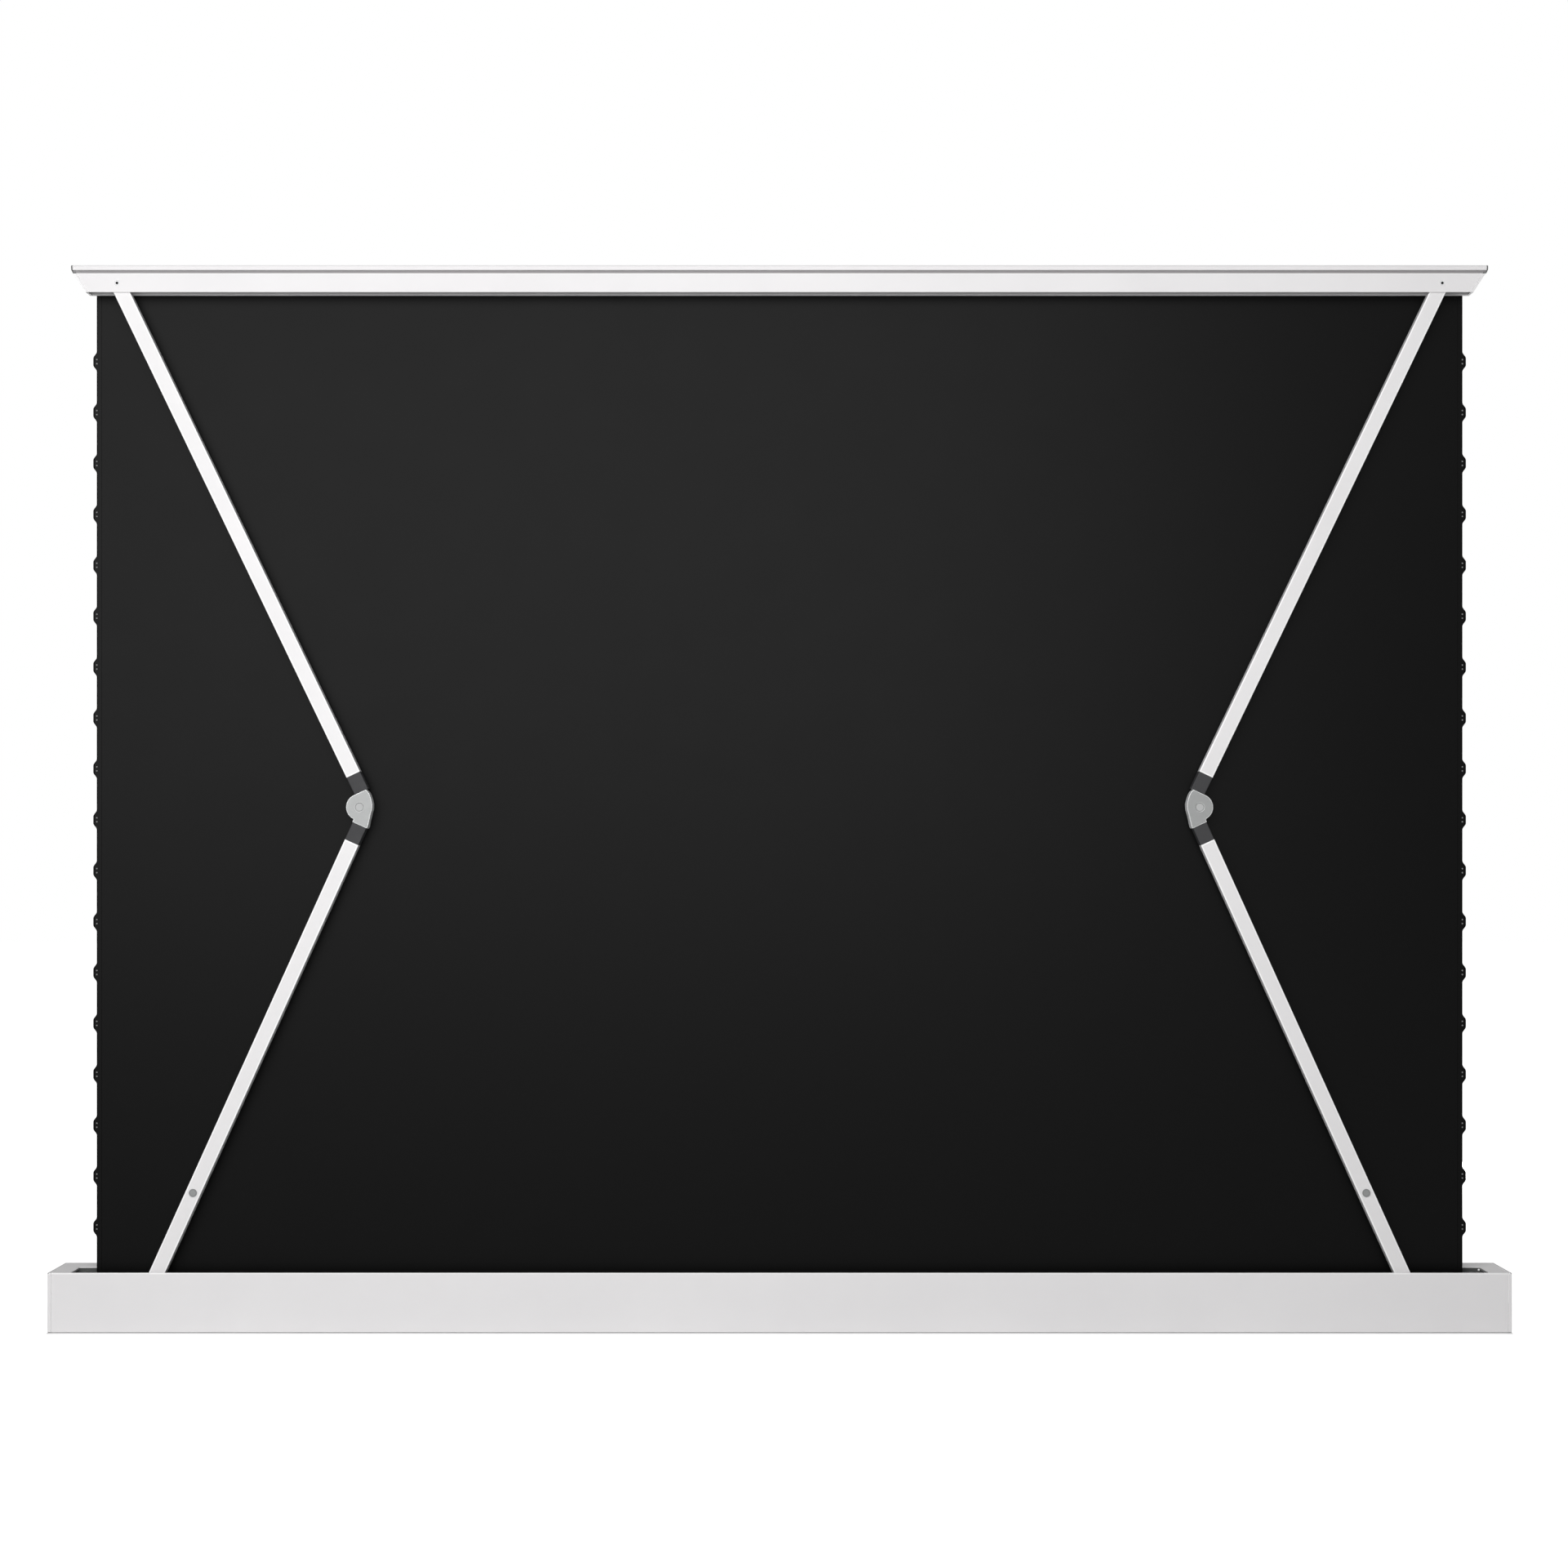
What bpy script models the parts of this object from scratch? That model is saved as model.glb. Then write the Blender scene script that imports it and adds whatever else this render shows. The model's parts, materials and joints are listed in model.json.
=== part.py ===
"""Floor-rising projector screen, shown fully raised.

Metres, +Z up. The side with the lifting arms faces -Y and the viewing side faces +Y.
The origin is the middle of the housing's underside.
"""
import math

import bmesh
import bpy
from mathutils import Vector

for old in list(bpy.data.objects):
    bpy.data.objects.remove(old, do_unlink=True)

# Clearances and cutting
GAP = 0.0003
OVERRUN = 0.004
MERGE_DISTANCE = 0.00001
SMOOTH_ANGLE = math.radians(32)
ROUND_STEPS = 28
HALF_ROUND_STEPS = 14
EYE_STEPS = 20
CORNER_STEPS = 3
BEVEL_STEPS = 2
BEVEL_ANGLE = math.radians(60)

# Whole screen
OVERALL_HEIGHT = 1.7793
FABRIC_WIDTH = 2.293
FABRIC_THICKNESS = 0.0006

# Housing
HOUSING_DEPTH = 0.160
HOUSING_HEIGHT = 0.100
WALL = 0.003
HOUSING_EDGE_RADIUS = 0.0025
FOOT_PROUD = 0.0008
SLOT_RIM = 0.037
SLOT_END_CLEARANCE = 0.002
SLOT_SIDE_CLEARANCE = 0.0005
SLOT_LIP_HEIGHT = 0.008
SLOT_LIP_THICKNESS = 0.0015
END_CAP_THICKNESS = 0.006
END_CAP_BEVEL = 0.001

# Foot pads
PAD_LENGTH = 0.060
PAD_WIDTH = 0.020
PAD_THICKNESS = 0.0020
PAD_END_INSET = 0.045
PAD_SIDE_INSET = 0.014

# Top bar
BAR_HEIGHT = 0.0443
BAR_OVERHANG = 0.0345
BAR_SLANT = math.radians(32.7)
LID_DEPTH = 0.0819
LID_THICKNESS = 0.004
LIP_HEIGHT = 0.0085
LIP_THICKNESS = 0.0046
LIP_CLEARANCE = 0.0006
LIP_OVERHANG = 0.0024
LIP_ROUNDING = 0.0022
GROOVE_HEIGHT = 0.0048
SKIRT_THICKNESS = 0.0015
SLANT_INSET = 0.0006
BAR_END_THICKNESS = 0.004
LID_END_LENGTH = 0.004
LID_END_TOP_ROUNDING = 0.0012
LID_END_CURVE_HEIGHT = 0.0085
RAIL_DEPTH = 0.0083
STRIP_DEPTH = 0.0030
STRIP_RISE = 0.0050
CLAMP_BITE = 0.0350

# Lifting arms
ARM_WIDTH = 0.025
ARM_DEPTH = 0.028
ARM_WALL = 0.002
ARM_CORNER = 0.0015
ARM_CLEARANCE = 0.0005
RAIL_CLEARANCE = 0.002
FOLD_GAP = 0.0013
KNEE_REACH = 0.373
TOP_PIVOT_OUTSET = 0.031
TOP_PIVOT_INSET = 0.076
TOP_PIVOT_DROP = 0.0293
TUBE_END_INSET = 0.016
TOP_TUBE_INSET = 0.008
STUB_LENGTH = 0.040

# Elbows
ELBOW_DEPTH = 0.032
ELBOW_RADIUS = 0.022
ELBOW_BACK_END = 268
ELBOW_PLATE = 0.005
ELBOW_WEB = 0.0045
LOWER_KNEE_OFFSET = 0.0122
LOWER_COLLAR_START = 0.0275
UPPER_COLLAR_START = 0.0224
COLLAR_LENGTH = 0.031
HUB_RADIUS = 0.0155
HUB_CLEARANCE = 0.0008
TONGUE_NECK_WIDTH = 0.013

# Pins
BASE_PIN_RADIUS = 0.0047
BASE_PIN_HEAD_RADIUS = 0.0075
ELBOW_PIN_RADIUS = 0.005
ELBOW_PIN_HEAD_RADIUS = 0.007
TOP_PIN_RADIUS = 0.004
TOP_PIN_SOCKET_RADIUS = 0.002
TOP_PIN_CLEARANCE = 0.0009
ANCHOR_PIN_RADIUS = 0.003
ANCHOR_HEAD_RADIUS = 0.0066
PIN_HEAD_THICKNESS = 0.0015
PIN_SOCKET_DEPTH = 0.002

# Base brackets
BRACKET_LENGTH = 0.060
BRACKET_PLATE = 0.003
BRACKET_CHEEK = 0.003
BRACKET_CHEEK_WIDTH = 0.026
BRACKET_CHEEK_TOP_RADIUS = 0.0105
FITTING_FLOOR_CLEARANCE = 0.0024

# Lifting springs in the lower arms, with their lengths as shares of the lower arm's run
ANCHOR_SHARE = 0.2479
SPRING_SHARE = 0.4293
ROD_SHARE = 0.2576
SPRING_RADIUS = 0.0095
SPRING_BORE_DEPTH = 0.120
ROD_RADIUS = 0.004
ROD_ENGAGEMENT = 0.080
CABLE_RADIUS = 0.00125
CABLE_BORE_CLEARANCE = 0.0006

# Roller and motor
ROLLER_RADIUS = 0.025
ROLLER_WALL = 0.0015
ROLLER_OVERHANG = 0.0035
ROLLER_WINDING = 0.0058
ROLLER_FLOOR_CLEARANCE = 0.0024
ROLLER_BRACKET_CLEARANCE = 0.015
ROLLER_BRACKET_THICKNESS = 0.003
ROLLER_BRACKET_FOOT = 0.025
ROLLER_BRACKET_HEIGHT = 0.084
ROLLER_BRACKET_DEPTH = 0.068
PLUG_LENGTH = 0.030
STUB_SHAFT_RADIUS = 0.006
STUB_SHAFT_PROUD = 0.004
MOTOR_RADIUS = 0.0175
MOTOR_LENGTH = 0.560
MOTOR_NECK_RADIUS = 0.0147
MOTOR_FLANGE_RADIUS = 0.020
MOTOR_FLANGE_THICKNESS = 0.008
MOTOR_SHAFT_LENGTH = 0.016
CROWN_LENGTH = 0.014

# Edge tapes of the fabric
TAPE_WIDTH = 0.008
TAPE_THICKNESS = 0.0008
TAB_PITCH = 0.08547
TAB_FIRST_DROP = 0.1547
TAB_PROUD = 0.0059
TAB_FLAT = 0.0116
TAB_HEIGHT = 0.033
TAB_COUNT = 18

# Electrics
BOX_LENGTH = 0.240
BOX_DEPTH = 0.030
BOX_HEIGHT = 0.055
BOX_INSET = 0.130
BOX_EDGE = 0.002
INLET_WIDTH = 0.028
INLET_HEIGHT = 0.021
INLET_DEPTH = 0.024
INLET_WALL = 0.003
INLET_POCKET = 0.018
INLET_SETBACK = 0.0004
INLET_Z = 0.040
INLET_FROM_VIEWING_SIDE = 0.046
BUTTON_RADIUS = 0.0055
BUTTON_LENGTH = 0.008
BUTTON_SETBACK = 0.0004
BUTTON_Z = 0.066
WINDOW_WIDTH = 0.026
WINDOW_HEIGHT = 0.012
WINDOW_Z = 0.055

# Places along the width, as distances from the middle
LID_HALF = FABRIC_WIDTH / 2 + BAR_OVERHANG
SLOT_HALF = LID_HALF + SLOT_END_CLEARANCE
HOUSING_HALF = SLOT_HALF + SLOT_RIM
CAP_INNER = HOUSING_HALF - END_CAP_THICKNESS
TRAY_HALF = CAP_INNER - GAP
COVER_HALF = LID_HALF - LID_END_LENGTH - GAP
TOP_PIVOT_X = LID_HALF - TOP_PIVOT_INSET
BASE_PIVOT_X = TOP_PIVOT_X - TOP_PIVOT_OUTSET
TUBE_HALF = FABRIC_WIDTH / 2 + ROLLER_OVERHANG
BRACKET_X = TUBE_HALF + ROLLER_BRACKET_CLEARANCE

# Places along the depth
REAR_Y = -HOUSING_DEPTH / 2
FRONT_Y = HOUSING_DEPTH / 2
LIP_Y = REAR_Y + WALL + LIP_CLEARANCE
SKIRT_Y = LIP_Y + LIP_OVERHANG
ARM_Y = SKIRT_Y + SKIRT_THICKNESS + ARM_CLEARANCE + ELBOW_DEPTH / 2
RAIL_Y = ARM_Y + ELBOW_DEPTH / 2 + RAIL_CLEARANCE
FABRIC_Y = RAIL_Y + RAIL_DEPTH + GAP
STRIP_Y = FABRIC_Y + FABRIC_THICKNESS + GAP
ROLLER_Y = STRIP_Y + ROLLER_RADIUS
LID_FAR_Y = LIP_Y + LID_DEPTH
SLOT_FAR_Y = LID_FAR_Y + SLOT_SIDE_CLEARANCE

# Heights
FLOOR_TOP = FOOT_PROUD + WALL
BASE_PIVOT_Z = FLOOR_TOP + GAP + BRACKET_PLATE + FITTING_FLOOR_CLEARANCE + ARM_WIDTH / 2
ROLLER_Z = FLOOR_TOP + ROLLER_FLOOR_CLEARANCE + ROLLER_RADIUS + ROLLER_WINDING
COVER_BOTTOM = HOUSING_HEIGHT - WALL
BAR_TOP = OVERALL_HEIGHT
BAR_BOTTOM = BAR_TOP - BAR_HEIGHT
LID_BOTTOM = BAR_TOP - LID_THICKNESS
LIP_BOTTOM = BAR_TOP - LIP_HEIGHT
SKIRT_TOP = LIP_BOTTOM - GROOVE_HEIGHT
TOP_PIVOT_Z = BAR_TOP - TOP_PIVOT_DROP
CLAMP_TOP = LID_BOTTOM - GAP

# The arms close flat in the housing, so the upper link is longer than the lower one by what the
# top pivot stands outside the base pivot. That settles how high the knee stands above its base.
PIVOT_RISE = TOP_PIVOT_Z - BASE_PIVOT_Z
UPPER_KNEE_OFFSET = ARM_WIDTH + FOLD_GAP - LOWER_KNEE_OFFSET
knee_rise = PIVOT_RISE / 2
for _ in range(12):
    lower_link = math.hypot(KNEE_REACH, knee_rise)
    knee_rise = PIVOT_RISE / 2 - TOP_PIVOT_OUTSET * (lower_link - KNEE_REACH) / PIVOT_RISE
LOWER_LINK = math.hypot(KNEE_REACH, knee_rise)
UPPER_LINK = math.hypot(KNEE_REACH + TOP_PIVOT_OUTSET, PIVOT_RISE - knee_rise)
LOWER_TILT = math.atan2(KNEE_REACH, knee_rise) + math.asin(LOWER_KNEE_OFFSET / LOWER_LINK)
UPPER_TILT = (math.atan2(KNEE_REACH + TOP_PIVOT_OUTSET, PIVOT_RISE - knee_rise)
              + math.asin(UPPER_KNEE_OFFSET / UPPER_LINK))
LOWER_RUN = math.sqrt(LOWER_LINK ** 2 - LOWER_KNEE_OFFSET ** 2)
UPPER_RUN = math.sqrt(UPPER_LINK ** 2 - UPPER_KNEE_OFFSET ** 2)
ANCHOR_DISTANCE = LOWER_RUN * ANCHOR_SHARE
SPRING_LENGTH = LOWER_RUN * SPRING_SHARE
ROD_LENGTH = LOWER_RUN * ROD_SHARE

FITTING_RADIUS = ARM_WIDTH / 2
STUB_WIDTH = ARM_WIDTH - ARM_WALL * 2 - GAP * 2
STUB_DEPTH = ARM_DEPTH - ARM_WALL * 2 - GAP * 2
CLEVIS_SLOT = ELBOW_DEPTH - ELBOW_PLATE * 2
TONGUE_DEPTH = CLEVIS_SLOT - GAP * 2

# Finishes: colour, roughness, metallic
FINISHES = {
    "white_aluminium": ((0.78, 0.77, 0.77, 1), 0.38, 0.0),
    "white_tube": ((0.84, 0.83, 0.83, 1), 0.35, 0.0),
    "silver_cast": ((0.52, 0.53, 0.53, 1), 0.42, 0.6),
    "dark_collar": ((0.055, 0.055, 0.058, 1), 0.5, 0.0),
    "black_backing": ((0.012, 0.012, 0.013, 1), 0.8, 0.0),
    "black_tape": ((0.010, 0.010, 0.011, 1), 0.65, 0.0),
    "steel": ((0.45, 0.45, 0.46, 1), 0.35, 0.9),
    "zinc_plate": ((0.50, 0.51, 0.52, 1), 0.45, 0.8),
    "bare_aluminium": ((0.60, 0.61, 0.62, 1), 0.35, 0.9),
    "black_plastic": ((0.020, 0.020, 0.022, 1), 0.45, 0.0),
    "dark_window": ((0.015, 0.010, 0.018, 1), 0.12, 0.0),
    "rubber": ((0.025, 0.025, 0.027, 1), 0.85, 0.0),
}


def finish(name):
    """One Principled material for each finish, made once."""
    if name in bpy.data.materials:
        return bpy.data.materials[name]
    colour, roughness, metallic = FINISHES[name]
    made = bpy.data.materials.new(name)
    made.use_nodes = True
    made.diffuse_color = colour
    shader = made.node_tree.nodes["Principled BSDF"]
    shader.inputs["Base Color"].default_value = colour
    shader.inputs["Roughness"].default_value = roughness
    shader.inputs["Metallic"].default_value = metallic
    return made


def piece(name, shape, finish_name, parent=None, location=(0, 0, 0), smooth=True):
    """A named object from a bmesh, on its parent empty; a piece that is cut stays flat shaded."""
    mesh = bpy.data.meshes.new(name)
    bmesh.ops.recalc_face_normals(shape, faces=shape.faces)
    shape.to_mesh(mesh)
    shape.free()
    if smooth:
        mesh.shade_smooth()
        mesh.set_sharp_from_angle(angle=SMOOTH_ANGLE)
    made = bpy.data.objects.new(name, mesh)
    mesh.materials.append(finish(finish_name))
    bpy.context.collection.objects.link(made)
    made.parent = parent
    made.location = location
    return made


def axis_empty(name, parent=None, location=(0, 0, 0), turn_y=0.0):
    """An empty on a joint's axis, which carries what turns or slides there."""
    made = bpy.data.objects.new(name, None)
    bpy.context.collection.objects.link(made)
    made.parent = parent
    made.location = location
    made.rotation_euler = (0, turn_y, 0)
    return made


def combine(target, shape, operation):
    """Join a bmesh to an object or cut it away, in the object's own coordinates."""
    target.data.shade_flat()
    cutter = piece(target.name + "_cutter", shape, "steel", target.parent, target.location, False)
    cutter.hide_render = True
    cutter.display_type = "WIRE"
    step = target.modifiers.new(operation.lower(), "BOOLEAN")
    step.operation = operation
    step.solver = "EXACT"
    step.object = cutter


def extruded(points, shift):
    """A solid from an outline of 3-D points, moved by shift."""
    shape = bmesh.new()
    face = shape.faces.new([shape.verts.new(point) for point in points])
    grown = bmesh.ops.extrude_face_region(shape, geom=[face])["geom"]
    far_side = [part for part in grown if isinstance(part, bmesh.types.BMVert)]
    bmesh.ops.translate(shape, verts=far_side, vec=shift)
    return shape


def along_x(outline, start, end):
    """An outline of (y, z) points, extruded along X."""
    return extruded([(start, y, z) for y, z in outline], (end - start, 0, 0))


def along_y(outline, start, end):
    """An outline of (x, z) points, extruded along Y."""
    return extruded([(x, start, z) for x, z in outline], (0, end - start, 0))


def along_z(outline, start, end):
    """An outline of (x, y) points, extruded along Z."""
    return extruded([(x, y, start) for x, y in outline], (0, 0, end - start))


def block(low, high):
    """A box between two opposite corners."""
    outline = [(low[0], low[1]), (high[0], low[1]), (high[0], high[1]), (low[0], high[1])]
    return along_z(outline, low[2], high[2])


def arc(centre, radius, start, end, steps):
    """Points of an arc in a plane, with the angles in degrees."""
    turn = [math.radians(start + (end - start) * step / steps) for step in range(steps + 1)]
    return [(centre[0] + radius * math.cos(a), centre[1] + radius * math.sin(a)) for a in turn]


def hollow_bar(width, depth, wall, corner, start, end):
    """A box tube along Z with rounded outer corners."""
    shape = bmesh.new()
    edges = []
    for inset, radius in ((0, corner), (wall, corner / 2)):
        half_x = width / 2 - inset - radius
        half_y = depth / 2 - inset - radius
        points = []
        for quarter, (sx, sy) in enumerate(((1, 1), (-1, 1), (-1, -1), (1, -1))):
            turn = quarter * 90
            points += arc((half_x * sx, half_y * sy), radius, turn, turn + 90, CORNER_STEPS)
        loop = [shape.verts.new((x, y, start)) for x, y in points]
        edges += [shape.edges.new(pair) for pair in zip(loop, loop[1:] + loop[:1])]
    ring = bmesh.ops.bridge_loops(shape, edges=edges)["faces"]
    grown = bmesh.ops.extrude_face_region(shape, geom=ring)["geom"]
    far_end = [part for part in grown if isinstance(part, bmesh.types.BMVert)]
    bmesh.ops.translate(shape, verts=far_end, vec=(0, 0, end - start))
    return shape


def turned(profile, axis):
    """A round piece from (radius, distance) points, spun about an axis through the origin.

    A profile that starts and ends on the axis makes a solid; a closed one makes a ring.
    """
    shape = bmesh.new()
    along = Vector(axis)
    outward = Vector((0, 0, 1)) if axis[2] == 0 else Vector((1, 0, 0))
    verts = [shape.verts.new(along * place + outward * radius) for radius, place in profile]
    edges = [shape.edges.new(pair) for pair in zip(verts, verts[1:])]
    if profile[0][0] and profile[-1][0]:
        edges.append(shape.edges.new((verts[-1], verts[0])))
    bmesh.ops.spin(shape, geom=verts + edges, cent=(0, 0, 0), axis=along,
                   angle=math.tau, steps=ROUND_STEPS, use_merge=True)
    bmesh.ops.remove_doubles(shape, verts=shape.verts, dist=MERGE_DISTANCE)
    return shape


def rod(radius, start, end, axis):
    """A plain round bar between two distances along an axis."""
    return turned([(0, start), (radius, start), (radius, end), (0, end)], axis)


def moved(shape, shift):
    """The same bmesh, shifted."""
    bmesh.ops.translate(shape, verts=shape.verts, vec=shift)
    return shape


# Housing

def housing_outline():
    """The housing's outer section as (y, z), with its two top edges rounded."""
    top = HOUSING_HEIGHT - HOUSING_EDGE_RADIUS
    rear = REAR_Y + HOUSING_EDGE_RADIUS
    front = FRONT_Y - HOUSING_EDGE_RADIUS
    return ([(REAR_Y, FOOT_PROUD), (FRONT_Y, FOOT_PROUD)]
            + arc((front, top), HOUSING_EDGE_RADIUS, 0, 90, CORNER_STEPS)
            + arc((rear, top), HOUSING_EDGE_RADIUS, 90, 180, CORNER_STEPS))


def pad_places():
    """Middles of the four foot pads, with their names."""
    x = HOUSING_HALF - PAD_END_INSET - PAD_LENGTH / 2
    y = FRONT_Y - PAD_SIDE_INSET - PAD_WIDTH / 2
    return {"foot_pad_rear_left": (-x, -y), "foot_pad_rear_right": (x, -y),
            "foot_pad_front_left": (-x, y), "foot_pad_front_right": (x, y)}


def base_tray():
    """Floor, rear wall and front wall in one extrusion.

    It is cut for the foot pads and for the remote control's window.
    """
    inner_rear = REAR_Y + WALL
    inner_front = FRONT_Y - WALL
    rear_top = HOUSING_HEIGHT - HOUSING_EDGE_RADIUS
    front_top = COVER_BOTTOM - GAP
    outline = ([(REAR_Y, FOOT_PROUD), (FRONT_Y, FOOT_PROUD), (FRONT_Y, front_top),
                (inner_front, front_top), (inner_front, FLOOR_TOP), (inner_rear, FLOOR_TOP),
                (inner_rear, HOUSING_HEIGHT)]
               + arc((REAR_Y + HOUSING_EDGE_RADIUS, rear_top), HOUSING_EDGE_RADIUS,
                     90, 180, CORNER_STEPS))
    tray = piece("base_tray", along_x(outline, -TRAY_HALF, TRAY_HALF), "white_aluminium")
    for x, y in pad_places().values():
        reach_x = PAD_LENGTH / 2 + GAP
        reach_y = PAD_WIDTH / 2 + GAP
        combine(tray, block((x - reach_x, y - reach_y, FOOT_PROUD - OVERRUN),
                            (x + reach_x, y + reach_y, PAD_THICKNESS + GAP)), "DIFFERENCE")
    reach_x = WINDOW_WIDTH / 2 + GAP
    reach_z = WINDOW_HEIGHT / 2 + GAP
    combine(tray, block((-reach_x, inner_front - OVERRUN, WINDOW_Z - reach_z),
                        (reach_x, FRONT_Y + OVERRUN, WINDOW_Z + reach_z)), "DIFFERENCE")


def foot_pads():
    """Four rubber pads set into the tray's underside."""
    for name, (x, y) in pad_places().items():
        piece(name, block((x - PAD_LENGTH / 2, y - PAD_WIDTH / 2, 0),
                          (x + PAD_LENGTH / 2, y + PAD_WIDTH / 2, PAD_THICKNESS)), "rubber")


def top_cover():
    """The strip in front of the slot, its down-turned slot lip and the rims beside the slot."""
    lip_back = SLOT_FAR_Y + SLOT_LIP_THICKNESS
    lip_bottom = HOUSING_HEIGHT - SLOT_LIP_HEIGHT
    edge = FRONT_Y - HOUSING_EDGE_RADIUS
    outline = ([(SLOT_FAR_Y, lip_bottom), (lip_back, lip_bottom), (lip_back, COVER_BOTTOM),
                (FRONT_Y, COVER_BOTTOM)]
               + arc((edge, HOUSING_HEIGHT - HOUSING_EDGE_RADIUS), HOUSING_EDGE_RADIUS,
                     0, 90, CORNER_STEPS)
               + [(SLOT_FAR_Y, HOUSING_HEIGHT)])
    cover = piece("top_cover", along_x(outline, -TRAY_HALF, TRAY_HALF), "white_aluminium")
    for side in (-1, 1):
        near, far = sorted((side * SLOT_HALF, side * TRAY_HALF))
        combine(cover, block((near, REAR_Y + WALL + GAP, COVER_BOTTOM),
                             (far, lip_back, HOUSING_HEIGHT)), "UNION")


def end_cap(name, side):
    """A cap that closes one end of the housing."""
    shape = along_x(housing_outline(), side * CAP_INNER, side * HOUSING_HALF)
    cap = piece(name, shape, "white_aluminium")
    edges = cap.modifiers.new("edge_rounding", "BEVEL")
    edges.width = END_CAP_BEVEL
    edges.segments = BEVEL_STEPS
    edges.limit_method = "ANGLE"
    edges.angle_limit = BEVEL_ANGLE
    return cap


def housing_ends():
    """Both end caps; the right one holds the power inlet and the push button."""
    end_cap("housing_end_left", -1)
    cap = end_cap("housing_end_right", 1)
    inlet_y = FRONT_Y - INLET_FROM_VIEWING_SIDE
    reach_y = INLET_WIDTH / 2 + GAP
    reach_z = INLET_HEIGHT / 2 + GAP
    combine(cap, block((CAP_INNER - OVERRUN, inlet_y - reach_y, INLET_Z - reach_z),
                       (HOUSING_HALF + OVERRUN, inlet_y + reach_y, INLET_Z + reach_z)),
            "DIFFERENCE")
    hole = rod(BUTTON_RADIUS + GAP, CAP_INNER - OVERRUN, HOUSING_HALF + OVERRUN, (1, 0, 0))
    combine(cap, moved(hole, (0, inlet_y, BUTTON_Z)), "DIFFERENCE")


# Electrics

def power_inlet():
    """An appliance inlet with an open socket, set into the right end cap."""
    inlet_y = FRONT_Y - INLET_FROM_VIEWING_SIDE
    face = HOUSING_HALF - INLET_SETBACK
    half_y = INLET_WIDTH / 2
    half_z = INLET_HEIGHT / 2
    body = piece("power_inlet", block((face - INLET_DEPTH, inlet_y - half_y, INLET_Z - half_z),
                                      (face, inlet_y + half_y, INLET_Z + half_z)),
                 "black_plastic")
    combine(body, block((face - INLET_POCKET, inlet_y - half_y + INLET_WALL,
                         INLET_Z - half_z + INLET_WALL),
                        (face + OVERRUN, inlet_y + half_y - INLET_WALL,
                         INLET_Z + half_z - INLET_WALL)), "DIFFERENCE")


def push_button():
    """A spring-return button above the inlet, which moves into the cap."""
    face = HOUSING_HALF - BUTTON_SETBACK
    axis = axis_empty("push_button_axis", None,
                      (face, FRONT_Y - INLET_FROM_VIEWING_SIDE, BUTTON_Z))
    piece("push_button", rod(BUTTON_RADIUS, -BUTTON_LENGTH, 0, (1, 0, 0)), "black_plastic", axis)


def ir_window():
    """The remote control's window, flush in the viewing side."""
    piece("ir_window", block((-WINDOW_WIDTH / 2, FRONT_Y - WALL, WINDOW_Z - WINDOW_HEIGHT / 2),
                             (WINDOW_WIDTH / 2, FRONT_Y, WINDOW_Z + WINDOW_HEIGHT / 2)),
          "dark_window")


def control_box():
    """The receiver and power supply, on the floor behind the roller."""
    far_y = FRONT_Y - WALL - GAP
    end_x = HOUSING_HALF - BOX_INSET
    low_z = FLOOR_TOP + GAP
    box = piece("control_box", block((end_x - BOX_LENGTH, far_y - BOX_DEPTH, low_z),
                                     (end_x, far_y, low_z + BOX_HEIGHT)), "black_plastic")
    edges = box.modifiers.new("edge_rounding", "BEVEL")
    edges.width = BOX_EDGE
    edges.segments = BEVEL_STEPS


# Roller

def roller_bracket(name, side, hole_radius):
    """An angle bracket on the floor that carries one end of the roller."""
    inner = BRACKET_X
    outer = inner + ROLLER_BRACKET_THICKNESS
    foot = inner + ROLLER_BRACKET_FOOT
    low = FLOOR_TOP + GAP
    foot_top = low + ROLLER_BRACKET_THICKNESS
    outline = [(side * inner, low), (side * foot, low), (side * foot, foot_top),
               (side * outer, foot_top), (side * outer, low + ROLLER_BRACKET_HEIGHT),
               (side * inner, low + ROLLER_BRACKET_HEIGHT)]
    near_y = STRIP_Y + GAP
    bracket = piece(name, along_y(outline, near_y, near_y + ROLLER_BRACKET_DEPTH), "zinc_plate")
    hole = rod(hole_radius, inner - OVERRUN, outer + OVERRUN, (side, 0, 0))
    combine(bracket, moved(hole, (0, ROLLER_Y, ROLLER_Z)), "DIFFERENCE")


def roller_motor():
    """The tubular motor: a fixed body inside the tube, with its head in the right bracket."""
    head = BRACKET_X - GAP
    far = BRACKET_X + ROLLER_BRACKET_THICKNESS + GAP
    body = head - MOTOR_LENGTH
    shaft = body - MOTOR_SHAFT_LENGTH
    profile = [(0, shaft), (STUB_SHAFT_RADIUS, shaft), (STUB_SHAFT_RADIUS, body),
               (MOTOR_RADIUS, body), (MOTOR_RADIUS, head), (MOTOR_NECK_RADIUS, head),
               (MOTOR_NECK_RADIUS, far), (MOTOR_FLANGE_RADIUS, far),
               (MOTOR_FLANGE_RADIUS, far + MOTOR_FLANGE_THICKNESS),
               (0, far + MOTOR_FLANGE_THICKNESS)]
    piece("roller_motor", moved(turned(profile, (1, 0, 0)), (0, ROLLER_Y, ROLLER_Z)), "steel")


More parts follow.
